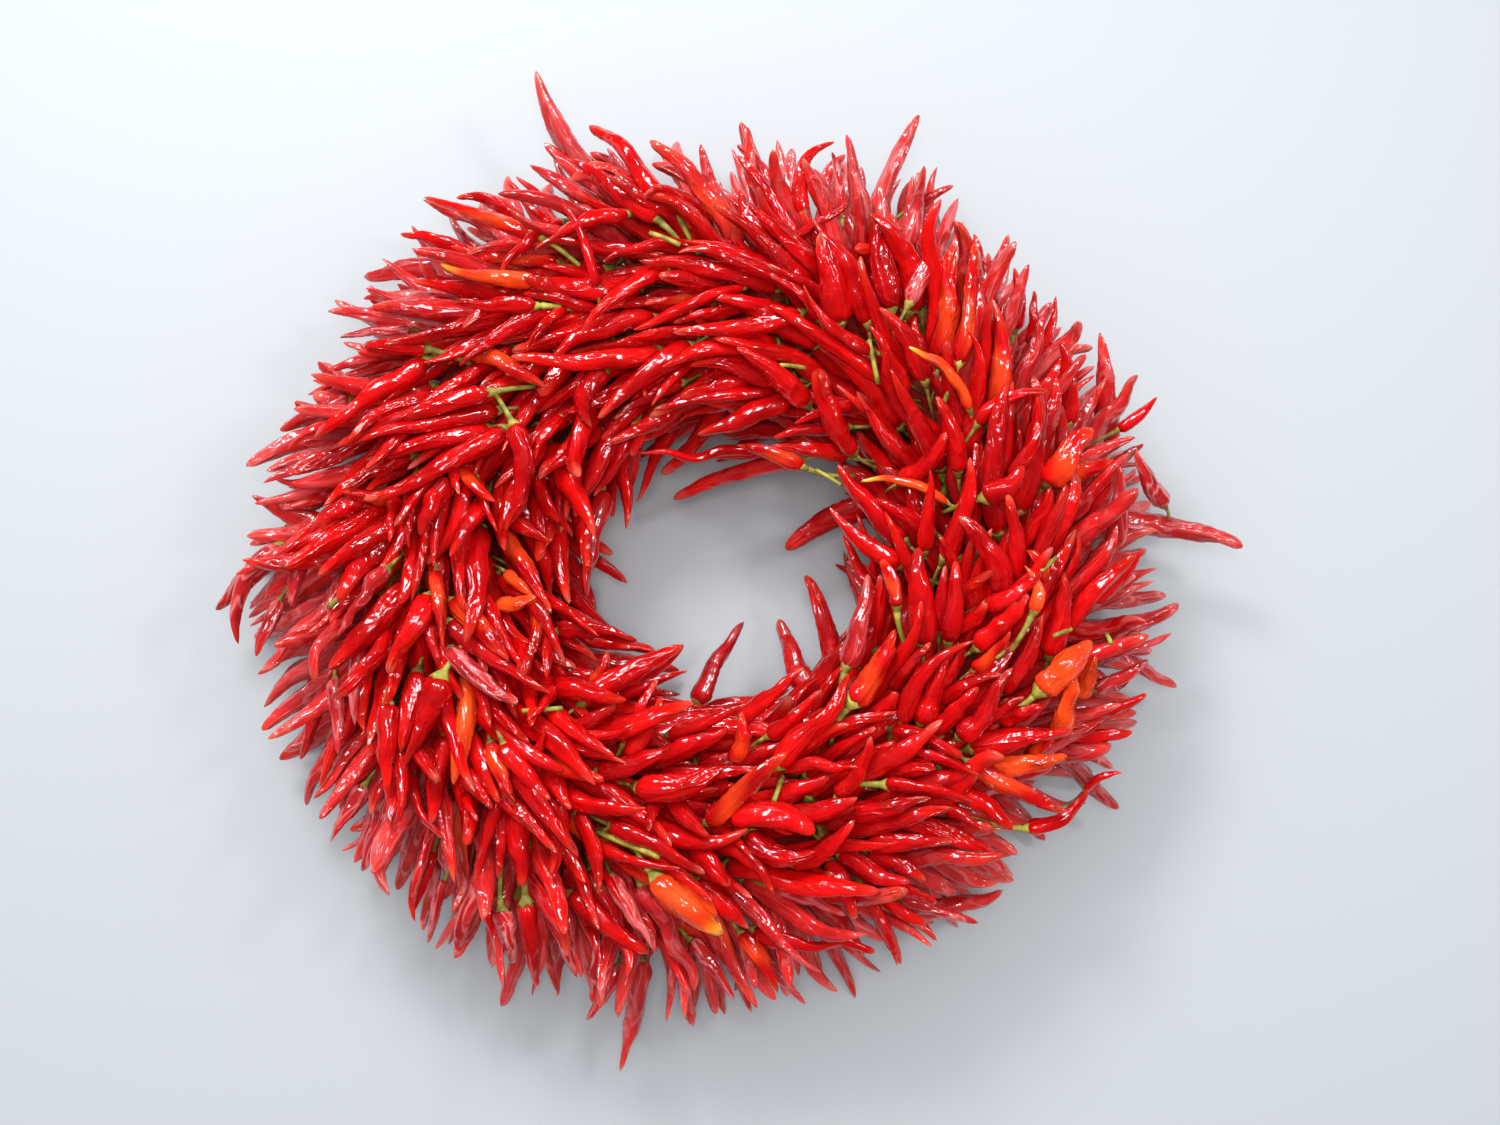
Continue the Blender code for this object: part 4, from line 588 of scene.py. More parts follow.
def settle(chilis, loose, ring=True):
    """The chilis after rounds of pushes off each other, the ring and the floor. Only loose ones move.

    Most end up within 4 mm of clear of each other, and a few run deeper, mostly at their stem ends.
    """
    bends = np.array([[c.root, c.middle, c.tip] for c in chilis])
    home = bends.copy()
    arms = np.linalg.norm(np.diff(bends, axis=1), axis=2)
    t = (np.arange(BALLS) + FIRST_BALL) / BALLS
    weight = np.stack([(1 - t) ** 2, 2 * t * (1 - t), t ** 2], 1)
    share = weight / (weight ** 2).sum(0)
    skin = np.outer([c.radius for c in chilis], girth(t)).ravel()
    owner = np.repeat(np.arange(len(chilis)), BALLS)
    hold = np.tile(np.array(HOLD)[:, None], (len(chilis), 1, 3))
    hold[[c.lane <= FRONT for c in chilis], :, :2] = FRONT_HOLD
    for _ in range(ROUNDS):
        balls = np.einsum("km,nmd->nkd", weight, bends).reshape(-1, 3)
        move = pushes(balls, BALL_SHARE * skin, owner, loose)
        if ring:
            move += off_ring(balls, np.tile(t, len(chilis)))
        move[:, 2] += np.clip(skin - balls[:, 2], 0, None)
        move[:, 2] -= PRESS * np.clip(balls[:, 2] + skin - CEILING, 0, None)
        turn = np.einsum("km,nkd->nmd", share, move.reshape(len(chilis), BALLS, 3))
        bends += loose[:, None, None] * (PACE * turn + hold * (home - bends))
        for arm in (0, 1):
            reach = bends[:, arm + 1] - bends[:, arm]
            stretch = arms[:, arm] / np.linalg.norm(reach, axis=1)
            bends[:, arm + 1] = bends[:, arm] + reach * stretch[:, None]
    return [c._replace(root=b[0], middle=b[1], tip=b[2]) for c, b in zip(chilis, bends)]


def settled_chilis():
    """All chilis: first those that the solid follows, then the back's, which give way to them."""
    chilis, back = lay_out()
    chilis = settle(chilis, np.array([c.lane != STRAY for c in chilis], float))
    loose = np.array([0] * len(chilis) + [1] * len(back), float)
    return settle(chilis + back, loose, ring=False)


# The form of each chili. In what follows, chilis is one Chili of arrays, with a row for each of them, and
# form holds arrays of as many rows.


def draw_forms(count):
    """What makes each chili its own."""
    draw = np.random.default_rng(FORM_SEED)
    hook = np.clip(draw.laplace(0, HOOK_SPREAD, count), -MOST_HOOK, MOST_HOOK)
    return {
        "thin": THINNEST + (1 - THINNEST) * draw.beta(*THIN_SHAPE, count),
        "roll": draw.uniform(0, 2 * math.pi, count),
        "hook": np.radians(hook),
        "hook_start": draw.uniform(*HOOK_START, count),
        "kink": np.radians(draw.normal(0, KINK_SPREAD, (count, 2))),
        "kink_waves": draw.uniform(*KINKS, (count, 2)),
        "kink_phase": draw.uniform(0, 2 * math.pi, (count, 2)),
        "taper": draw.uniform(*TAPER_POWERS, count),
        "tip": draw.uniform(*TIP_SHARES, count),
        "lump": draw.normal(0, LUMP_SPREAD, (count, len(LUMP_WAVES))),
        "lump_phase": draw.uniform(0, 2 * math.pi, (count, len(LUMP_WAVES))),
        "flat": FLAT_MOST * draw.beta(*FLAT_SHAPE, count),
        "flat_turn": draw.uniform(0, math.pi, count),
        "twist": np.radians(draw.normal(0, TWIST_SPREAD, count)),
        "crease_turn": draw.uniform(0, 2 * math.pi, (count, CREASES)),
        "crease_depth": draw.uniform(*CREASE_DEPTH, (count, CREASES)),
        "crease_width": np.radians(draw.uniform(*CREASE_WIDTH, (count, CREASES))),
        "crease_middle": draw.uniform(*CREASE_MIDDLE, (count, CREASES)),
        "crease_length": draw.uniform(*CREASE_LENGTH, (count, CREASES)),
        "ripple_phase": draw.uniform(0, 2 * math.pi, (count, len(RIPPLES))),
        "wrinkle": draw.uniform(*WRINKLES, count),
        "fresh": draw.uniform(*FRESHNESS, count),
        "pale": MOST_PALE * draw.beta(*PALE_SHAPE, count),
    }


def smooth(x):
    """From 0 to 1 as x goes there, slowly at both ends."""
    x = np.clip(x, 0, 1)
    return x * x * (3 - 2 * x)


def normalised(vectors):
    """The directions of an array's vectors."""
    return vectors / np.linalg.norm(vectors, axis=-1, keepdims=True)


def square_to(way):
    """A direction square to each way, and a level one unless the way is upright."""
    helper = np.where(np.abs(way[..., 2:]) < UPRIGHT, [0.0, 0.0, 1.0], [1.0, 0.0, 0.0])
    return normalised(np.cross(way, helper))


def centre_lines(chilis, form, t):
    """Points along each chili, with its two cross directions there: (chili, place, xyz)."""
    root, middle, tip = chilis.root[:, None], chilis.middle[:, None], chilis.tip[:, None]
    s = t[None, :, None]
    run = 2 * (1 - s) * (middle - root) + 2 * s * (tip - middle)
    speed = np.linalg.norm(run, axis=2, keepdims=True)
    way = run / speed
    first = square_to(way[:, :1])
    second = np.cross(way[:, :1], first)
    roll = form["roll"][:, None, None]
    side = np.cos(roll) * first + np.sin(roll) * second
    bent = form["hook"] * np.where(chilis.lane < 0, PLACED_HOOK, 1)
    start = form["hook_start"][:, None]
    hooked = bent[:, None] * smooth((t - start) / (1 - start))
    waves = 2 * math.pi * form["kink_waves"][:, None] * t[None, :, None] + form["kink_phase"][:, None]
    kinks = form["kink"][:, None] * np.sin(waves)
    side = normalised(side - way * (side * way).sum(2, keepdims=True))
    over = np.cross(way, side)
    aside, upward = np.tan(hooked + kinks[..., 0]), np.tan(kinks[..., 1])
    turned = normalised(way + side * aside[..., None] + over * upward[..., None])
    steps = (turned * speed)[:, 1:] + (turned * speed)[:, :-1]
    path = np.concatenate([root, root + np.cumsum(steps / 2 * np.diff(t)[None, :, None], 1)], 1)
    shift = np.where(chilis.lane < 0, 1, TIED_SHIFT)[:, None, None]
    path = path - shift * s * (path[:, -1:] - tip)
    way = normalised(np.gradient(path, t, axis=1))
    side = normalised(side - way * (side * way).sum(2, keepdims=True))
    return path, side, np.cross(way, side)


def sections(chilis, form, t, turn):
    """How far the skin lies from the centre line, across and over it: (chili, place, turn)."""
    places, turns = t[None, :, None], turn[None, None, :]
    each = {name: values[:, None, None] for name, values in form.items()}
    radius = (chilis.radius * np.where(chilis.lane < 0, 1, form["thin"]))[:, None, None]
    neck = 1 - NECK_PINCH * np.exp(-(places / NECK_LENGTH) ** 2)
    shape = girth(places, each["taper"], each["tip"]) * neck
    for k, waves in enumerate(LUMP_WAVES):
        lump = np.sin(2 * math.pi * waves * places + each["lump_phase"][..., k])
        shape = shape * (1 + each["lump"][..., k] * lump)
    turned = turns + each["twist"] * places
    for k in range(CREASES):
        apart = (turned - each["crease_turn"][..., k] + math.pi) % (2 * math.pi) - math.pi
        valley = np.exp(-(apart / each["crease_width"][..., k]) ** 2)
        along = np.exp(-((places - each["crease_middle"][..., k]) / each["crease_length"][..., k]) ** 2)
        shape = shape * (1 - each["crease_depth"][..., k] * valley * along)
    waves = [np.sin(2 * math.pi * along * places + around * turned + each["ripple_phase"][..., k])
             for k, (along, around) in enumerate(RIPPLES)]
    ripple = waves[0] * waves[1] + FINE_RIPPLE * waves[2] * waves[3]
    shape = radius * shape * (1 + RIPPLE * ripple)
    flat_turn = each["flat_turn"] + each["twist"] * places
    across = shape * np.cos(turns - flat_turn) * (1 + FLAT_WIDENS * each["flat"])
    over = shape * np.sin(turns - flat_turn) * (1 - each["flat"])
    return (across * np.cos(flat_turn) - over * np.sin(flat_turn),
            across * np.sin(flat_turn) + over * np.cos(flat_turn))


def tube_faces(count, rings, sides):
    """Faces of closed tubes. Each has its rings' corners in turn, then a stem pole and a tip pole."""
    size = rings * sides + 2
    ring = np.arange(rings - 1)[:, None] * sides
    corner = np.arange(sides)[None, :]
    following = (corner + 1) % sides
    quads = np.stack([ring + corner, ring + following, ring + sides + following, ring + sides + corner], -1)
    corner, following = corner[0], following[0]
    last = (rings - 1) * sides
    stem = np.stack([np.full(sides, size - 2), following, corner], -1)
    tip = np.stack([np.full(sides, size - 1), last + corner, last + following], -1)
    starts = np.arange(count)[:, None, None] * size
    quads = (starts + quads.reshape(1, -1, 4)).reshape(-1, 4)
    ends = (starts + np.concatenate([stem, tip])[None]).reshape(-1, 3)
    return quads.tolist() + ends.tolist()


def on_wreath(points):
    """Points given from the wreath's middle, in their places and not below the floor."""
    placed = points + WREATH_MIDDLE
    placed[..., 2] = np.maximum(placed[..., 2], LEAST_HEIGHT)
    return placed


def tubes_mesh(name, rings, stems, tips):
    """One mesh of closed tubes from (tube, ring, corner, xyz) and the tubes' end points."""
    count, ring_count, sides = rings.shape[:3]
    points = on_wreath(np.concatenate([rings.reshape(count, -1, 3), stems[:, None], tips[:, None]], 1))
    mesh = bpy.data.meshes.new(name)
    mesh.from_pydata(points.reshape(-1, 3).tolist(), [], tube_faces(count, ring_count, sides))
    mesh.shade_smooth()
    return mesh


def store(mesh, name, kind, values):
    """Keeps values for each corner on the mesh, for its material to read."""
    slot_name = {"FLOAT": "value", "FLOAT_VECTOR": "vector", "FLOAT_COLOR": "color"}[kind]
    layer = mesh.attributes.new(name, kind, "POINT")
    layer.data.foreach_set(slot_name, np.asarray(values, np.float32).ravel())


def with_poles(values):
    """Values of the rings' corners, then the means of both end rings for the poles, for each tube."""
    flat = values.reshape(len(values), -1, *values.shape[3:])
    return np.concatenate([flat, values[:, :1].mean(2), values[:, -1:].mean(2)], 1)


# Colours of the skin, as shares of linear light
REDS = ((0.72, 0.003, 0.002), (0.50, 0.001, 0.002), (0.33, 0.001, 0.002))
RED_WEIGHTS = (1.3, 2.4, 1.2)    # how often each prevails
# Painted sheen: the pale pink that rim chilis are painted towards, for the light that the outer chilis catch
SHEEN_PINK = (0.85, 0.085, 0.080)
ROSE = (0.44, 0.018, 0.020)
PALE = (0.85, 0.26, 0.17)
ORANGE = (0.95, 0.068, 0.008)
YELLOW = (0.88, 0.36, 0.02)
SHEEN_BY_LANE = {0: 1.0, 1: 1.0, 2: 0.8, 3: 0.5, 4: 0.2, STRAY: 0.6}   # how far each lane's chilis are painted towards a pale pink sheen
SHEEN_SHARES = (0.0, 0.7)              # how far a chili of such a lane goes towards the painted pink sheen
ROSY = 0.7                       # how far a rose one goes towards its colour
PALE_START = 0.86                # where along a chili its tip grows pale
MOST_PALE = 0.45
TIP_START = 0.7                  # the same, for the tip's own colour
PATCHES = 0.35                   # how unevenly orange a chili is
PATCH_WAVE = 9                   # along its length
ORANGE_SHARES = {"red": 0.0, "rose": 0.0, "flame": 0.22, "orange": 0.85, "amber": 0.8}
TONE_CHANCES = {"red": 0.97, "flame": 0.025, "orange": 0.004, "amber": 0.001}
RIDGE_SHEEN = {"inner": 0.02, "outer": 0.65, "rose": 0.6}   # how pale the skin's ridge crests are painted: worn skin and a painted sheen
TIP_ORANGE = 0.2                 # at most, on a red chili's tip
TONE_SEED = 12

SKIN_POWER = 0.92                # draws the rings together at the tip
TIP_PLACE = 0.994                # of the last ring
TIP_POINT = 0.3                  # how far the tip is past it, in steps
SKIN_STEP = (0.031, 0.047, 0.0)  # from one chili's place in the noise to the next's
LEAST_WRINKLED = 0.6             # share of its wrinkles that a skin has at the stem end,
TIP_WRINKLES = 0.9               # and what the tip adds


def blend(low, high, share):
    """A share of the way from one colour to another."""
    return low + share * (np.array(high) - low)


def chili_tone(chili, draw):
    """One chili's body colour, its tip's, how orange it is and how pale its ridge crests are, from wear and
    painted sheen.
    """
    body = draw.dirichlet(RED_WEIGHTS) @ np.array(REDS)
    outside = np.hypot(*chili.tip[:2]) > RING_OUTER
    lane_sheen_share = SHEEN_BY_LANE.get(chili.lane, 0.0)
    sheen_share = lane_sheen_share * draw.uniform(*SHEEN_SHARES) * outside
    drawn = draw.choice(list(TONE_CHANCES), p=list(TONE_CHANCES.values()))
    tone = drawn if chili.lane >= 0 else chili.tone
    # Chilis whose tips lie beyond the ring are painted paler pink, a painted sheen; rose ones take their own
    # tone
    body = blend(body, ROSE, ROSY) if tone == "rose" else blend(body, SHEEN_PINK, sheen_share)
    orange = ORANGE_SHARES[tone]
    end = blend(body, ORANGE, max(orange, draw.uniform(0, TIP_ORANGE)))
    return {
        "body": body,
        "end": np.array(YELLOW) if tone == "amber" else end,
        "orange": orange,
        "crest_sheen": RIDGE_SHEEN["rose"] if tone == "rose" else blend(RIDGE_SHEEN["inner"], RIDGE_SHEEN["outer"], outside * lane_sheen_share),
    }


def chili_tones(listed):
    """The tones of a list of chilis, as arrays."""
    draw = np.random.default_rng(TONE_SEED)
    rows = [chili_tone(chili, draw) for chili in listed]
    return {name: np.array([row[name] for row in rows]) for name in rows[0]}


def skin_colours(form, t, turn):
    """The skins' colours: (chili, place, turn, rgba)."""
    each = {name: values[:, None, None] for name, values in form.items()}
    patches = PATCHES * np.sin(PATCH_WAVE * t[None, :, None] + turn + each["roll"])
    orange = np.where(each["orange"] > 0, 1, 0) * np.clip(each["orange"] + patches, 0, 1)
    colour = blend(each["body"], ORANGE, orange[..., None])
    share = smooth((t - TIP_START) / (1 - TIP_START))[:, None, None]
    colour = blend(colour, each["end"], share)
    pale = each["pale"][..., None] * smooth((t - PALE_START) / (1 - PALE_START))[:, None, None]
    colour = blend(colour, PALE, pale)
    return np.concatenate([colour, np.ones((*colour.shape[:3], 1))], 3)


def chili_piece(name, chilis, form, detail, material):
    """One mesh of whole chilis, with what its material reads at each corner."""
    t = np.linspace(0, 1, detail.steps + 1) ** SKIN_POWER
    t = np.concatenate([[0], t[1:-1], [TIP_PLACE]])
    turn = 2 * math.pi * np.arange(detail.sides) / detail.sides
    path, side, over = centre_lines(chilis, form, t)
    across, up = sections(chilis, form, t, turn)
    rings = path[:, :, None] + across[..., None] * side[:, :, None] + up[..., None] * over[:, :, None]
    stems, tips = rings[:, 0].mean(1), rings[:, -1].mean(1)
    mesh = tubes_mesh(name, rings, stems, tips + TIP_POINT * (tips - rings[:, -2].mean(1)))
    places = t[None, :, None]
    lengths = np.linalg.norm(chilis.tip - chilis.root, axis=1)[:, None, None]
    skin = np.stack(np.broadcast_arrays(across, up, lengths * places), 3)
    skin = skin + np.arange(len(path))[:, None, None, None] * np.array(SKIN_STEP)
    wrinkled = form["wrinkle"][:, None, None] + 0 * across
    store(mesh, "tone", "FLOAT_COLOR", with_poles(skin_colours(form, t, turn)))
    store(mesh, "skin", "FLOAT_VECTOR", with_poles(skin))
    store(mesh, "wrinkle", "FLOAT", with_poles(wrinkled * (LEAST_WRINKLED + TIP_WRINKLES * places ** 2)))
    # how pale the ridge crests are painted, as wear and as a painted sheen
    store(mesh, "crest_sheen", "FLOAT", with_poles(wrinkled * form["crest_sheen"][:, None, None]))
    add_piece(mesh, material)


def add_object(name, data):
    """A new object in the scene."""
    obj = bpy.data.objects.new(name, data)
    bpy.context.scene.collection.objects.link(obj)
    return obj


def add_piece(mesh, material):
    """A piece of the wreath, with its mesh's name."""
    mesh.materials.append(material)
    obj = add_object(mesh.name, mesh)
    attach(obj, "root")
    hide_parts("chili_bundle")


# Stalks


# The calyx's rings, from its lobes to the stalk: how far along the chili each lies, in millimetres, and its
# radius as a share of the chili's, each with what a lobe adds
Ring = namedtuple("Ring", "along lobe_along radius lobe_radius")
CALYX = (
    Ring(1.0, 1.8, 0.60, 0.12),
    Ring(-0.2, 0, 0.50, 0),
    Ring(-1.8, 0, 0.34, 0),
    Ring(-4.0, 0, 0.18, 0),
)
CALYX_SIDES = 10
CALYX_LOBES = 5
CAPPED_SIZE = 1.1            # of a calyx that shows
HIDDEN_FRESH = 0.6           # share of their green that the others keep

STALK_LENGTH = 27 * MM
STALK_RADIUS = 0.85 * MM
STALK_START = 2.5 * MM       # inside the calyx
STALK_STEPS, STALK_SIDES = 5, 5
STALK_FLARE = 0.5            # how much wider it starts
STALK_ELBOW = 0.5            # how far behind the chili it bends, as a share of its length
STALK_FOOT = 0.85            # how far behind it ends,
STALK_BEND = 0.4             # and how far into the ring
CAPPED_GIRTH = 1.6           # of a stalk that shows
ASLANT = 0.01                # keeps the ways into the ring off the chilis' own
LOOSE_ARCH = 1.5 * MM        # how far the middle of a loose stalk is raised
LOOSE_FRESH = 0.8            # how green it is


def freshness(chilis, form):
    """How green the chilis' calyces and stalks are."""
    return form["fresh"] * np.where(chilis.lane == CAPPED, 1, HIDDEN_FRESH)


def headings(chilis):
    """The ways that the chilis leave their stem ends."""
    return normalised(chilis.middle - chilis.root)


def green_piece(name, rings, fresh, material):
    """One mesh of thin tubes from (tube, ring, corner, xyz), each as fresh as given."""
    mesh = tubes_mesh(name, rings, rings[:, 0].mean(1), rings[:, -1].mean(1))
    store(mesh, "fresh", "FLOAT", np.repeat(fresh, rings.shape[1] * rings.shape[2] + 2))
    add_piece(mesh, material)


def calyx_piece(chilis, form, material):
    """The green caps on the stem ends, each with its small lobes."""
    turn = 2 * math.pi * np.arange(CALYX_SIDES) / CALYX_SIDES
    way = headings(chilis)
    side = square_to(way)
    over = np.cross(way, side)
    around = np.cos(turn)[None, :, None] * side[:, None] + np.sin(turn)[None, :, None] * over[:, None]
    lobes = 0.5 + 0.5 * np.cos(CALYX_LOBES * turn)
    size = np.where(chilis.lane == CAPPED, CAPPED_SIZE, 1.0)
    radius = chilis.radius * form["thin"] * size
    rings = []
    for ring in CALYX:
        reach = np.outer(size, (ring.along + ring.lobe_along * lobes) * MM)[..., None]
        spread = np.outer(radius, ring.radius + ring.lobe_radius * lobes)[..., None]
        rings.append(chilis.root[:, None] + way[:, None] * reach + spread * around)
    green_piece("calyces", np.stack(rings[::-1], 1), freshness(chilis, form), material)


def inward(point):
    """From a point to the middle of the ring's section beside it."""
    angle = math.atan2(point[1], point[0])
    _, out, up = directions(angle)
    middle, _ = ring_section(angle)
    return middle * out + RING_HEIGHT / 2 * up - point


def stalk_rings(path, sideways, radius):
    """The rings of tubes along paths (tube, point, xyz), each turned by a direction beside it."""
    turn = 2 * math.pi * np.arange(STALK_SIDES) / STALK_SIDES
    run = normalised(np.gradient(path, axis=1))
    side = normalised(np.cross(run, sideways))[:, :, None]
    over = np.cross(run, side[:, :, 0])[:, :, None]
    around = np.cos(turn)[:, None] * side + np.sin(turn)[:, None] * over
    return path[:, :, None] + radius[..., None] * around


def stalk_piece(chilis, form, material):
    """The stalks, which bend from their chilis down into the ring."""
    t = np.linspace(0, 1, STALK_STEPS + 1)[None, :, None]
    root, way = chilis.root[:, None], headings(chilis)[:, None]
    inner = normalised(np.array([inward(point) for point in chilis.root]))[:, None]
    elbow = root - STALK_ELBOW * STALK_LENGTH * way
    foot = root - STALK_FOOT * STALK_LENGTH * way + STALK_BEND * STALK_LENGTH * inner
    path = (1 - t) ** 2 * (root - STALK_START * way) + 2 * t * (1 - t) * elbow + t ** 2 * foot
    girths = np.where(chilis.lane == CAPPED, CAPPED_GIRTH, 1.0)[:, None, None]
    radius = STALK_RADIUS * girths * (1 + STALK_FLARE * (1 - t) ** 4)
    sideways = normalised(np.cross(way, inner + ASLANT))
    green_piece("stalks", stalk_rings(path, sideways, radius), freshness(chilis, form), material)


def loose_stalk_piece(material):
    """The stalks in the gaps of the front."""
    start = np.array([front_point(s.start_x, s.start_y, s.start_over * MM) for s in LOOSE_STALKS])[:, None]
    end = np.array([front_point(s.end_x, s.end_y, s.end_over * MM) for s in LOOSE_STALKS])[:, None]
    t = np.linspace(0, 1, STALK_STEPS + 1)[None, :, None]
    path = start + t * (end - start) + 4 * t * (1 - t) * np.array([0, 0, LOOSE_ARCH])
    radius = np.array([s.width for s in LOOSE_STALKS])[:, None, None] * PIXEL / 2 + 0 * t
    rings = stalk_rings(path, [[[0.0, 0.0, 1.0]]], radius)
    green_piece("loose_stalks", rings, np.full(len(LOOSE_STALKS), LOOSE_FRESH), material)


CORE_STEPS, CORE_SIDES = 96, 28
CORE_SINK = 14 * MM      # how far it lies inside the ring that the chilis are tied to


def core_piece(material):
    """A ring that stands in for the tied stems and covered chilis, where gaps show it."""
    rows = []
    for k in range(CORE_STEPS):
        angle = 2 * math.pi * k / CORE_STEPS
        row = [on_ring(angle, 2 * math.pi * j / CORE_SIDES, -CORE_SINK) for j in range(CORE_SIDES)]
        rows.append(row)
    points = on_wreath(np.array(rows))
    index = np.arange(CORE_STEPS * CORE_SIDES).reshape(CORE_STEPS, CORE_SIDES)
    ahead = np.roll(index, -1, 0)
    faces = np.stack([ahead, np.roll(ahead, -1, 1), np.roll(index, -1, 1), index], -1)
    mesh = bpy.data.meshes.new("core")
    mesh.from_pydata(points.reshape(-1, 3).tolist(), [], faces.reshape(-1, 4).tolist())
    mesh.shade_smooth()
    add_piece(mesh, material)


# Materials


MOST = (0.3, 0.7)                # what most of a noise lies between
SPECKS = (0.35, 0.65)            # the same, for colours that change faster
# A noise over the skin. A stretch of less than 1, across, over or along the chili, draws it out that way.
Noise = namedtuple("Noise", "stretch scale detail distortion kind", defaults=[0.0, "FBM"])
RIDGED = "RIDGED_MULTIFRACTAL"
RIDGE_OFFSET = 1.0
MOTTLING = Noise((1, 1, 0.4), 110, 4)
DIMPLES = Noise((1, 1, 0.5), 190, 0.3, 0.5)
RIDGES = Noise((1, 1, 0.24), 190, 1.0, 0.8, RIDGED)
GRAIN = Noise((0.5, 0.5, 1), 200, 0.6, 0.6)
GLOSS = Noise((1, 1, 1), 140, 2)
SHADES = (0.6, 1.2)              # how dark and light the mottling makes it
DIMPLE_STRENGTH = 0.8
DIMPLE_DEPTH = 1.5 * MM
RIDGE_DEPTH = 1.0 * MM
GRAIN_DEPTH = 1.2 * MM           # of the coat alone
CRESTS = (0.8, 1.3)              # the heights of ridges over which the pale crest colour is laid
WORN_AND_SHEEN = (0.86, 0.27, 0.26, 1)     # the pale crest colour: partly worn skin, partly a painted sheen
COAT_ROUGHNESS = 0.1

Skin = namedtuple("Skin", "name specular roughness")
SKINS = {
    "glossy": Skin("chili_skin", 0.05, (0.25, 0.4)),
    "dusty": Skin("dusty_skin", 0.3, (0.32, 0.5)),
}

# Two colours and the noise between them
Speckle = namedtuple("Speckle", "scale detail low high")
DRY_STEM = Speckle(160, 3, (0.10, 0.03, 0.006, 1), (0.20, 0.12, 0.02, 1))
GREEN_STEM = Speckle(160, 3, (0.20, 0.19, 0.012, 1), (0.50, 0.44, 0.06, 1))
# painted shade: the inside is given the dark red of chilis in shade
SHADED_CORE = Speckle(220, 4, (0.22, 0.004, 0.003, 1), (0.40, 0.012, 0.006, 1))
STEM_ROUGHNESS = 0.6
CORE_ROUGHNESS = 0.85


def new_material(name):
    """A material with its node tree and its shader."""
    material = bpy.data.materials.new(name)
    material.use_nodes = True
    return material, material.node_tree, material.node_tree.nodes["Principled BSDF"]


def put(tree, node, inputs):
    """Sets a node's inputs to values, or links them to the outputs of others."""
    for name, value in inputs.items():
        if isinstance(value, bpy.types.NodeSocket):
            tree.links.new(value, node.inputs[name])
        else:
            node.inputs[name].default_value = value


def add_node(tree, kind, inputs, **settings):
    """A new node."""
    made = tree.nodes.new(kind)
    for name, value in settings.items():
        setattr(made, name, value)
    put(tree, made, inputs)
    return made


def attribute(tree, name, output="Fac"):
    """What a mesh keeps for its corners under a name."""
    return add_node(tree, "ShaderNodeAttribute", {}, attribute_name=name).outputs[output]


def skin_noise(tree, skin, noise):
    """A noise over the skin."""
    mapped = add_node(tree, "ShaderNodeMapping", {"Vector": skin, "Scale": noise.stretch})
    inputs = {"Vector": mapped.outputs["Vector"], "Scale": noise.scale, "Detail": noise.detail,
              "Distortion": noise.distortion}
    if noise.kind == RIDGED:
        inputs["Offset"] = RIDGE_OFFSET
    return add_node(tree, "ShaderNodeTexNoise", inputs, noise_type=noise.kind).outputs["Fac"]


def ranged(tree, value, span, to=(0, 1)):
    """A value carried over from one span to another."""
    inputs = {"Value": value, "From Min": span[0], "From Max": span[1], "To Min": to[0], "To Max": to[1]}
    return add_node(tree, "ShaderNodeMapRange", inputs).outputs["Result"]


def product(tree, kind, first, second):
    """Two values multiplied by a node of one kind."""
    return add_node(tree, kind, {0: first, 1: second}, operation="MULTIPLY").outputs[0]


def mixed(tree, share, low, high):
    """A share of the way from one colour to another."""
    return add_node(tree, "ShaderNodeMix", {0: share, 6: low, 7: high}, data_type="RGBA").outputs[2]


def bumped(tree, height, strength, depth, under=None):
    """The skin's directions once a height is laid over it, and over those it already has."""
    inputs = {"Height": height, "Strength": strength, "Distance": depth}
    if under is not None:
        inputs["Normal"] = under
    return add_node(tree, "ShaderNodeBump", inputs).outputs["Normal"]


def chili_material(look):
    """Mottled skin, dimpled and ridged, paler along its ridges, partly as worn skin and partly as a painted
    sheen, under a clear coat.
    """
    material, tree, shader = new_material(look.name)
    skin = attribute(tree, "skin", "Vector")
    wrinkle = attribute(tree, "wrinkle")
    shade = ranged(tree, skin_noise(tree, skin, MOTTLING), MOST, SHADES)
    mottled = product(tree, "ShaderNodeVectorMath", attribute(tree, "tone", "Color"), shade)
    ridges = skin_noise(tree, skin, RIDGES)
    # Ridge crests are mixed towards a pale colour: partly worn skin, partly a painted sheen
    wear_and_sheen = product(tree, "ShaderNodeMath", ranged(tree, ridges, CRESTS), attribute(tree, "crest_sheen"))
    dimpled = bumped(tree, skin_noise(tree, skin, DIMPLES), DIMPLE_STRENGTH, DIMPLE_DEPTH)
    ridged = bumped(tree, ridges, wrinkle, RIDGE_DEPTH, dimpled)
    put(tree, shader, {
        "Base Color": mixed(tree, wear_and_sheen, mottled, WORN_AND_SHEEN),
        "Normal": ridged,
        "Roughness": ranged(tree, skin_noise(tree, skin, GLOSS), MOST, look.roughness),
        "Specular IOR Level": look.specular,
        "Coat Weight": 1.0,
        "Coat Roughness": COAT_ROUGHNESS,
        "Coat Normal": bumped(tree, skin_noise(tree, skin, GRAIN), wrinkle, GRAIN_DEPTH, ridged),
    })
    return material


def speckled(tree, speckle):
    """Two colours, mixed by a noise."""
    place = add_node(tree, "ShaderNodeTexCoord", {}).outputs["Object"]
    inputs = {"Vector": place, "Scale": speckle.scale, "Detail": speckle.detail}
    noise = add_node(tree, "ShaderNodeTexNoise", inputs).outputs["Fac"]
    return mixed(tree, ranged(tree, noise, SPECKS), speckle.low, speckle.high)


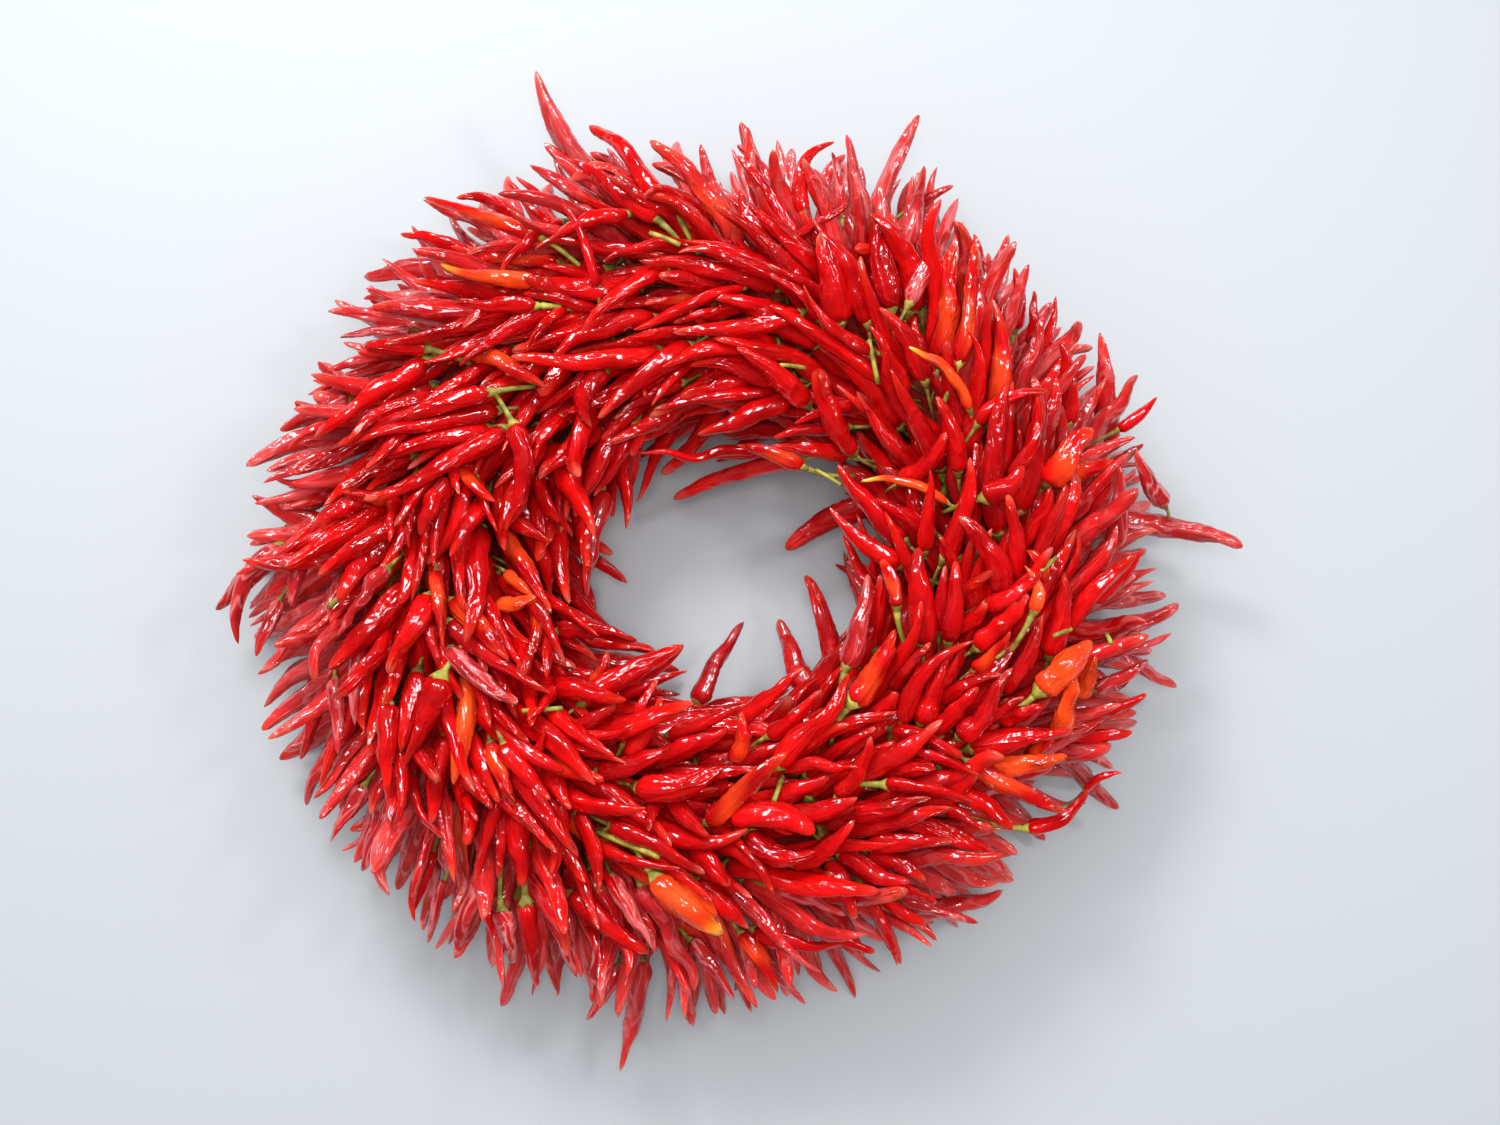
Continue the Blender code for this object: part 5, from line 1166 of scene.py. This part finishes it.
def stem_material():
    """Calyces and stalks, from withered brown to green."""
    material, tree, shader = new_material("chili_stem")
    colour = mixed(tree, attribute(tree, "fresh"), speckled(tree, DRY_STEM), speckled(tree, GREEN_STEM))
    put(tree, shader, {"Base Color": colour, "Roughness": STEM_ROUGHNESS})
    return material


def core_material():
    """The wreath's inside, painted as dark as chilis in the shade."""
    material, tree, shader = new_material("shaded_wreath_core")
    put(tree, shader, {"Base Color": speckled(tree, SHADED_CORE), "Roughness": CORE_ROUGHNESS})
    return material


# The stage


FLOOR_SIZE = 6.0
FLOOR_COLOUR = (0.42, 0.42, 0.42, 1)
FLOOR_ROUGHNESS = 0.7
SENSOR = 36.0                    # the camera's, in millimetres
LIGHT_COLOUR = (0.90, 0.95, 1.0)
WORLD_STRENGTH = 0.82
# A square lamp that faces the origin. One that isn't reflected is left out of the skins' gloss, and one that
# doesn't light shows there alone.
Lamp = namedtuple("Lamp", "place size power reflected lights", defaults=[True, True])
LAMPS = (
    Lamp((-0.5, 0.9, 1.6), 1.6, 10, reflected=False),
    Lamp((0.0, -0.1, 1.6), 0.4, 9, reflected=False),
    Lamp((-0.45, 0.95, 1.1), 0.42, 19),
    Lamp((0.8, 0.3, 1.2), 0.2, 5),
    Lamp((0.3, 0.8, 1.2), 0.35, 12, lights=False),
)


def add_floor():
    """What the wreath lies on."""
    half = FLOOR_SIZE / 2
    corners = [(-half, -half, 0), (half, -half, 0), (half, half, 0), (-half, half, 0)]
    mesh = bpy.data.meshes.new("floor")
    mesh.from_pydata(corners, [], [(0, 1, 2, 3)])
    material, tree, shader = new_material("floor")
    put(tree, shader, {"Base Color": FLOOR_COLOUR, "Roughness": FLOOR_ROUGHNESS})
    mesh.materials.append(material)
    add_object("floor", mesh)


def facing(way):
    """How a lamp or camera is turned when it looks a way."""
    return Vector(way).to_track_quat("-Z", "Y").to_euler()


def add_lamp(lamp):
    """A softbox, which faces the origin."""
    light = bpy.data.lights.new("softbox", "AREA")
    light.color = LIGHT_COLOUR
    light.size = lamp.size
    light.energy = lamp.power
    obj = add_object("softbox", light)
    obj.visible_glossy = lamp.reflected
    obj.visible_diffuse = lamp.lights
    obj.location = lamp.place
    obj.rotation_euler = facing(-np.array(lamp.place))


def add_world():
    """Even light from all round, which the skins don't reflect."""
    world = bpy.data.worlds.new("studio")
    world.use_nodes = True
    put(world.node_tree, world.node_tree.nodes["Background"], {
        "Color": (*LIGHT_COLOUR, 1), "Strength": WORLD_STRENGTH})
    world.cycles_visibility.glossy = False
    bpy.context.scene.world = world


def add_camera():
    """A camera where the photograph was taken from, which shows as much of the scene."""
    camera = bpy.data.cameras.new("camera")
    camera.sensor_width = SENSOR
    camera.lens = SENSOR * SIGHT / PIXEL / (2 * PHOTO_X)
    eye, _, back = camera_place()
    obj = add_object("camera", camera)
    obj.location = eye + WREATH_MIDDLE
    obj.rotation_euler = facing(-back)
    bpy.context.scene.camera = obj


def add_chilis(chilis, form):
    """The pieces that the chilis are in, by their lanes."""
    materials = {skin: chili_material(look) for skin, look in SKINS.items()}
    for name, lanes, detail, skin in PIECES:
        which = np.isin(chilis.lane, lanes)
        members = Chili(*(values[which] for values in chilis))
        picked = {part: values[which] for part, values in form.items()}
        chili_piece(name, members, picked, detail, materials[skin])


def main():
    listed = settled_chilis()
    form = {**draw_forms(len(listed)), **chili_tones(listed)}
    chilis = Chili(*map(np.array, zip(*listed)))
    add_chilis(chilis, form)
    stem = stem_material()
    calyx_piece(chilis, form, stem)
    stalk_piece(chilis, form, stem)
    loose_stalk_piece(stem)
    core_piece(core_material())
    add_floor()
    add_world()
    for lamp in LAMPS:
        add_lamp(lamp)
    add_camera()
    bpy.context.scene.view_settings.view_transform = "Standard"


main()
